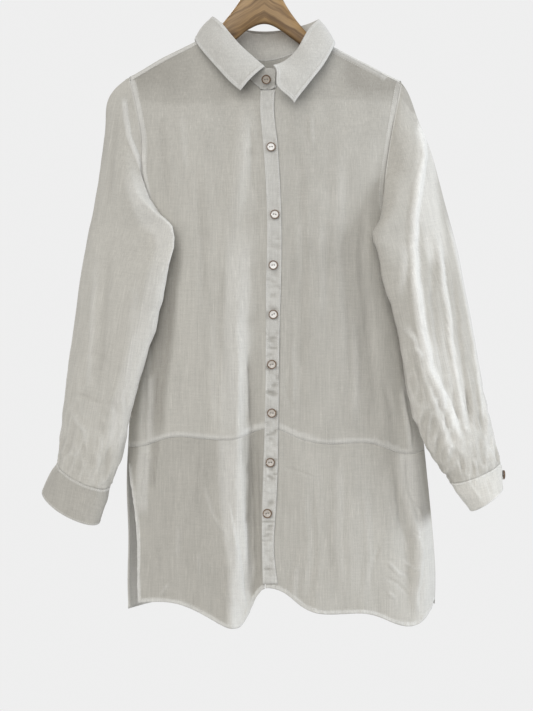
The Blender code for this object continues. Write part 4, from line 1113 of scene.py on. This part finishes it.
cuffLeft = {
    "levels": 3, "seed": 131.0, "thick": 1.2, "paint": "sleeve_left", "tube": True, "drift": 0.6, "sheerShade": 0.05,
    "creases": [([(276, -766), (292, -792)], 4, 0.8), ([(298, -758), (306, -786)], 4, -0.8)],
    "meets": [(highEdge, ["sleeve_left"], 7.0)],
    "bands": [
        {"edge": lowEdge, "width": 1.8, "light": 0.7, "raise": 0.25, "pucker": 0.5, "rows": [2.2]},
        {"edge": highEdge, "width": 3.4, "light": 0.5, "raise": 0.3, "pucker": 1.8, "rows": [2.4]},
        {"edge": anyEdge, "width": 90.0, "light": 0.28, "raise": 0.0},
    ],
    "crumples": [(15.0, 1.0, (1.0, 1.0, 1.0))], "stitches": "sleeve_stitches",
    "flat": (0.16, 0.056, 0.0078), "rests": ["sleeve_left"],
}

makeCloth("back", backPanel)
makeCloth("front_right_upper", frontRightUpper)
makeCloth("front_left_upper", frontLeftUpper)
makeCloth("front_right_lower", frontRightLower)
makeCloth("front_left_lower", frontLeftLower)
makeCloth("yoke", yokePiece)
makeCloth("placket", placketBand)
makeCloth("collar_stand", standPiece)
makeCloth("collar", collarPiece)
makeCloth("sleeve_right", sleeveRight)
makeCloth("sleeve_left", sleeveLeft)
makeCloth("cuff_right", cuffRight)
makeCloth("cuff_left", cuffLeft)


# Buttons: one is modelled, and each place gets its own copy

button = {"radius": 6.3, "thick": 2.4, "rim": 1.3, "dish": 0.8, "hole": 0.8, "holeGap": 3.0}


def modelButton():
    bpy.ops.object.select_all(action="DESELECT")
    bpy.ops.mesh.primitive_cylinder_add(vertices=40, radius=button["radius"] * mm,
                                        depth=button["thick"] * mm, location=(0, 0, 0))
    piece = bpy.context.active_object
    bpy.ops.object.mode_set(mode="EDIT")
    bpy.ops.mesh.select_all(action="DESELECT")
    sheet = bmesh.from_edit_mesh(piece.data)
    for face in sheet.faces:
        face.select = face.normal.z > 0.9
    bmesh.update_edit_mesh(piece.data)
    bpy.ops.mesh.inset(thickness=button["rim"] * mm, depth=0.0)
    bpy.ops.mesh.inset(thickness=0.5 * mm, depth=-button["dish"] * mm)
    bpy.ops.mesh.inset(thickness=1.2 * mm, depth=-0.08 * mm)
    bpy.ops.object.mode_set(mode="OBJECT")
    for side in (-1, 1):
        bpy.ops.object.select_all(action="DESELECT")
        bpy.ops.mesh.primitive_cylinder_add(vertices=14, radius=button["hole"] * mm,
                                            depth=8 * mm,
                                            location=(0, side * button["holeGap"] / 2 * mm, 0))
        drill = bpy.context.active_object
        applyModifier(piece, "BOOLEAN", {"operation": "DIFFERENCE", "object": drill})
        bpy.data.objects.remove(drill)
    applyModifier(piece, "BEVEL", {"width": 0.28 * mm, "segments": 2, "limit_method": "ANGLE",
                                   "angle_limit": math.radians(40)})
    pickOnly(piece)
    bpy.ops.object.shade_smooth_by_angle(angle=math.radians(38))
    return piece


def buttonPlace(node):
    mesh = frame["nodes"][node].data
    points = np.array([v.co for v in mesh.vertices])
    centre = (points.min(axis=0) + points.max(axis=0)) / 2
    _, axes = np.linalg.eigh(np.cov((points - points.mean(axis=0)).T))
    facing = axes[:, 0]
    if facing[1] > 0:
        facing = -facing
    return centre, facing


buttonLooks = [  # node, how pearly, how far it is turned
    ("button_1", 0.15, 5), ("button_2", 1.0, 8), ("button_3", 0.85, -12), ("button_4", 1.0, 4),
    ("button_5", 0.8, 30), ("button_6", 0.4, 10), ("button_7", 0.3, -8), ("button_8", 0.35, 2),
    ("button_9", 0.25, 15), ("cuff_button_right", 0.5, 0), ("cuff_button_left", 0.5, 0),
]


def makeButtons():
    model = modelButton()
    for node, pearly, turn in buttonLooks:
        centre, facing = buttonPlace(node)
        piece = newPiece(f"{node}_shell", model.data.copy())
        up = Vector(facing)
        turned = Vector((0, 0, 1)).rotation_difference(up).to_matrix().to_4x4()
        twist = Matrix.Rotation(math.radians(turn + 90), 4, up)
        own = pointsOf(piece)
        rim = smooth((np.hypot(own[:, 0], own[:, 1]) - (button["radius"] - button["rim"] - 0.5)) / 0.4)
        holes = np.minimum(*[np.hypot(own[:, 0], own[:, 1] - side * button["holeGap"] / 2)
                             for side in (-1, 1)])
        rim = np.maximum(rim, smooth((button["hole"] + 0.2 - holes) / 0.2))
        paintPoints(piece, "rim", rim)
        paintPoints(piece, "pearl", np.full(len(own), pearly))
        piece.data.transform(Matrix.Translation(Vector(centre)) @ twist @ turned)
        piece.data.materials.append(paints["shell"])
        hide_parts(node)
        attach(piece, "root")
        way = np.array((twist @ turned).to_3x3() @ Vector((0, 1, 0)))
        rise = np.array(up)
        floorHeight = button["thick"] / 2 - button["dish"] + 0.1
        middle = np.array(centre) / mm + rise * floorHeight
        addStitch("button_thread", middle, way, rise, length=2.2, thick=0.13)
    bpy.data.objects.remove(model)
    print("buttons made")


makeButtons()


# Stitches of each group become one piece of thread

def makeStitches():
    for group in sorted(stitchPoints):
        mesh = bpy.data.meshes.new(group)
        mesh.from_pydata([tuple(point * mm) for point in stitchPoints[group]], [],
                         stitchFaces[group])
        piece = newPiece(group, mesh)
        mesh.shade_smooth()
        mesh.materials.append(paints["thread"])
        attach(piece, "root")
        print(group, len(stitchPoints[group]) // 10, "stitches")


makeStitches()


# Hanger: its wood and wire are smoothed copies of the solids

def smoothCopy(node, name, levels, paint):
    sheet = bmesh.new()
    sheet.from_mesh(frame["nodes"][node].data)
    bmesh.ops.remove_doubles(sheet, verts=sheet.verts, dist=0.000001)
    bmesh.ops.join_triangles(sheet, faces=sheet.faces, angle_face_threshold=0.6,
                             angle_shape_threshold=3.1)
    mesh = bpy.data.meshes.new(name)
    sheet.to_mesh(mesh)
    sheet.free()
    piece = newPiece(name, mesh)
    refine(piece, levels)
    piece.data.shade_smooth()
    piece.data.materials.append(paint)
    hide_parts(node)
    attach(piece, "root")
    return piece


wood = smoothCopy("hanger_body", "hanger_wood", 2, paints["wood"])
knotPlace = {"x": -43.6, "z": -155.0, "reach": 7.0}
woodPoints = pointsOf(wood)
knotGap = np.hypot((woodPoints[:, 0] - knotPlace["x"]) / 1.6, woodPoints[:, 2] - knotPlace["z"])
paintPoints(wood, "slope", woodPoints[:, 2] + 0.62 * np.abs(woodPoints[:, 0]))
# Painted shade: the underside of the wood is darkened.
underShade = 0.5 * smooth((-normalsOf(wood)[:, 2] - 0.2) / 0.5)
paintPoints(wood, "knot", np.maximum(underShade, 0.8 * np.clip(1.0 - knotGap / knotPlace["reach"], 0.0, 1.0)))
smoothCopy("hanger_hook", "hanger_wire", 1, paints["wire"])
print("hanger made")


# Floor, light and camera

studio = {
    "floorZ": -1.40, "floorSize": 2.0, "pale": (0.73, 0.73, 0.73),
    "ambient": 0.42, "seen": (0.86, 0.86, 0.86),
    "keyFrom": (1.0, -0.10, 0.26), "keyPower": 2.5, "keySpread": 20.0, "keyColour": (0.91, 0.965, 1.04),
    "fillFrom": (-0.36, -1.0, 0.46), "fillPower": 1.9, "fillSpread": 60.0,
    "fillColour": (1.0, 0.99, 0.97),
    "rearFrom": (-0.35, 1.0, 0.5), "rearPower": 1.9, "rearSpread": 30.0, "rearColour": (1.0, 0.99, 0.97),
}


def addFloor():
    bpy.ops.object.select_all(action="DESELECT")
    bpy.ops.mesh.primitive_circle_add(vertices=96, radius=studio["floorSize"] / 2, fill_type="NGON",
                                      location=(0, 0, studio["floorZ"]))
    floor = bpy.context.active_object
    floor.name = "floor"
    paint = Paint("pale floor")
    cloud = paint.noise(paint.place(), 3.0, 2.0)
    paint.set({"Base Color": paint.mix(cloud, studio["pale"], (0.76, 0.76, 0.76)), "Roughness": 0.9})
    floor.data.materials.append(paint.material)


def addSun(name, start, power, spread, colour):
    data = bpy.data.lights.new(name, "SUN")
    data.energy = power
    data.angle = math.radians(spread)
    data.color = colour
    lamp = bpy.data.objects.new(name, data)
    bpy.context.scene.collection.objects.link(lamp)
    lamp.location = start
    lamp.rotation_euler = (-Vector(start)).to_track_quat("-Z", "Y").to_euler()


def addWorld():
    world = bpy.data.worlds.new("studio")
    bpy.context.scene.world = world
    world.use_nodes = True
    tree = world.node_tree
    sky = tree.nodes["Background"]
    sky.inputs["Color"].default_value = (1.0, 1.0, 1.0, 1.0)
    sky.inputs["Strength"].default_value = studio["ambient"]
    seen = tree.nodes.new("ShaderNodeBackground")
    seen.inputs["Color"].default_value = (*studio["seen"], 1.0)
    rays = tree.nodes.new("ShaderNodeLightPath")
    mix = tree.nodes.new("ShaderNodeMixShader")
    tree.links.new(rays.outputs["Is Camera Ray"], mix.inputs[0])
    tree.links.new(sky.outputs[0], mix.inputs[1])
    tree.links.new(seen.outputs[0], mix.inputs[2])
    tree.links.new(mix.outputs[0], tree.nodes["World Output"].inputs["Surface"])


def addCamera():
    view = {"x": 0.003, "distance": 2.2, "z": -0.594, "lens": 81.31, "sensor": 36.0}
    data = bpy.data.cameras.new("camera")
    data.lens = view["lens"]
    data.sensor_width = view["sensor"]
    camera = bpy.data.objects.new("camera", data)
    bpy.context.scene.collection.objects.link(camera)
    camera.location = (view["x"], -view["distance"], view["z"])
    camera.rotation_euler = (math.pi / 2, 0.0, 0.0)
    bpy.context.scene.camera = camera


addFloor()
addWorld()
addSun("key", studio["keyFrom"], studio["keyPower"], studio["keySpread"], studio["keyColour"])
addSun("fill", studio["fillFrom"], studio["fillPower"], studio["fillSpread"], studio["fillColour"])
addSun("rear", studio["rearFrom"], studio["rearPower"], studio["rearSpread"], studio["rearColour"])
addCamera()
bpy.context.scene.view_settings.view_transform = "Standard"
print("studio made")
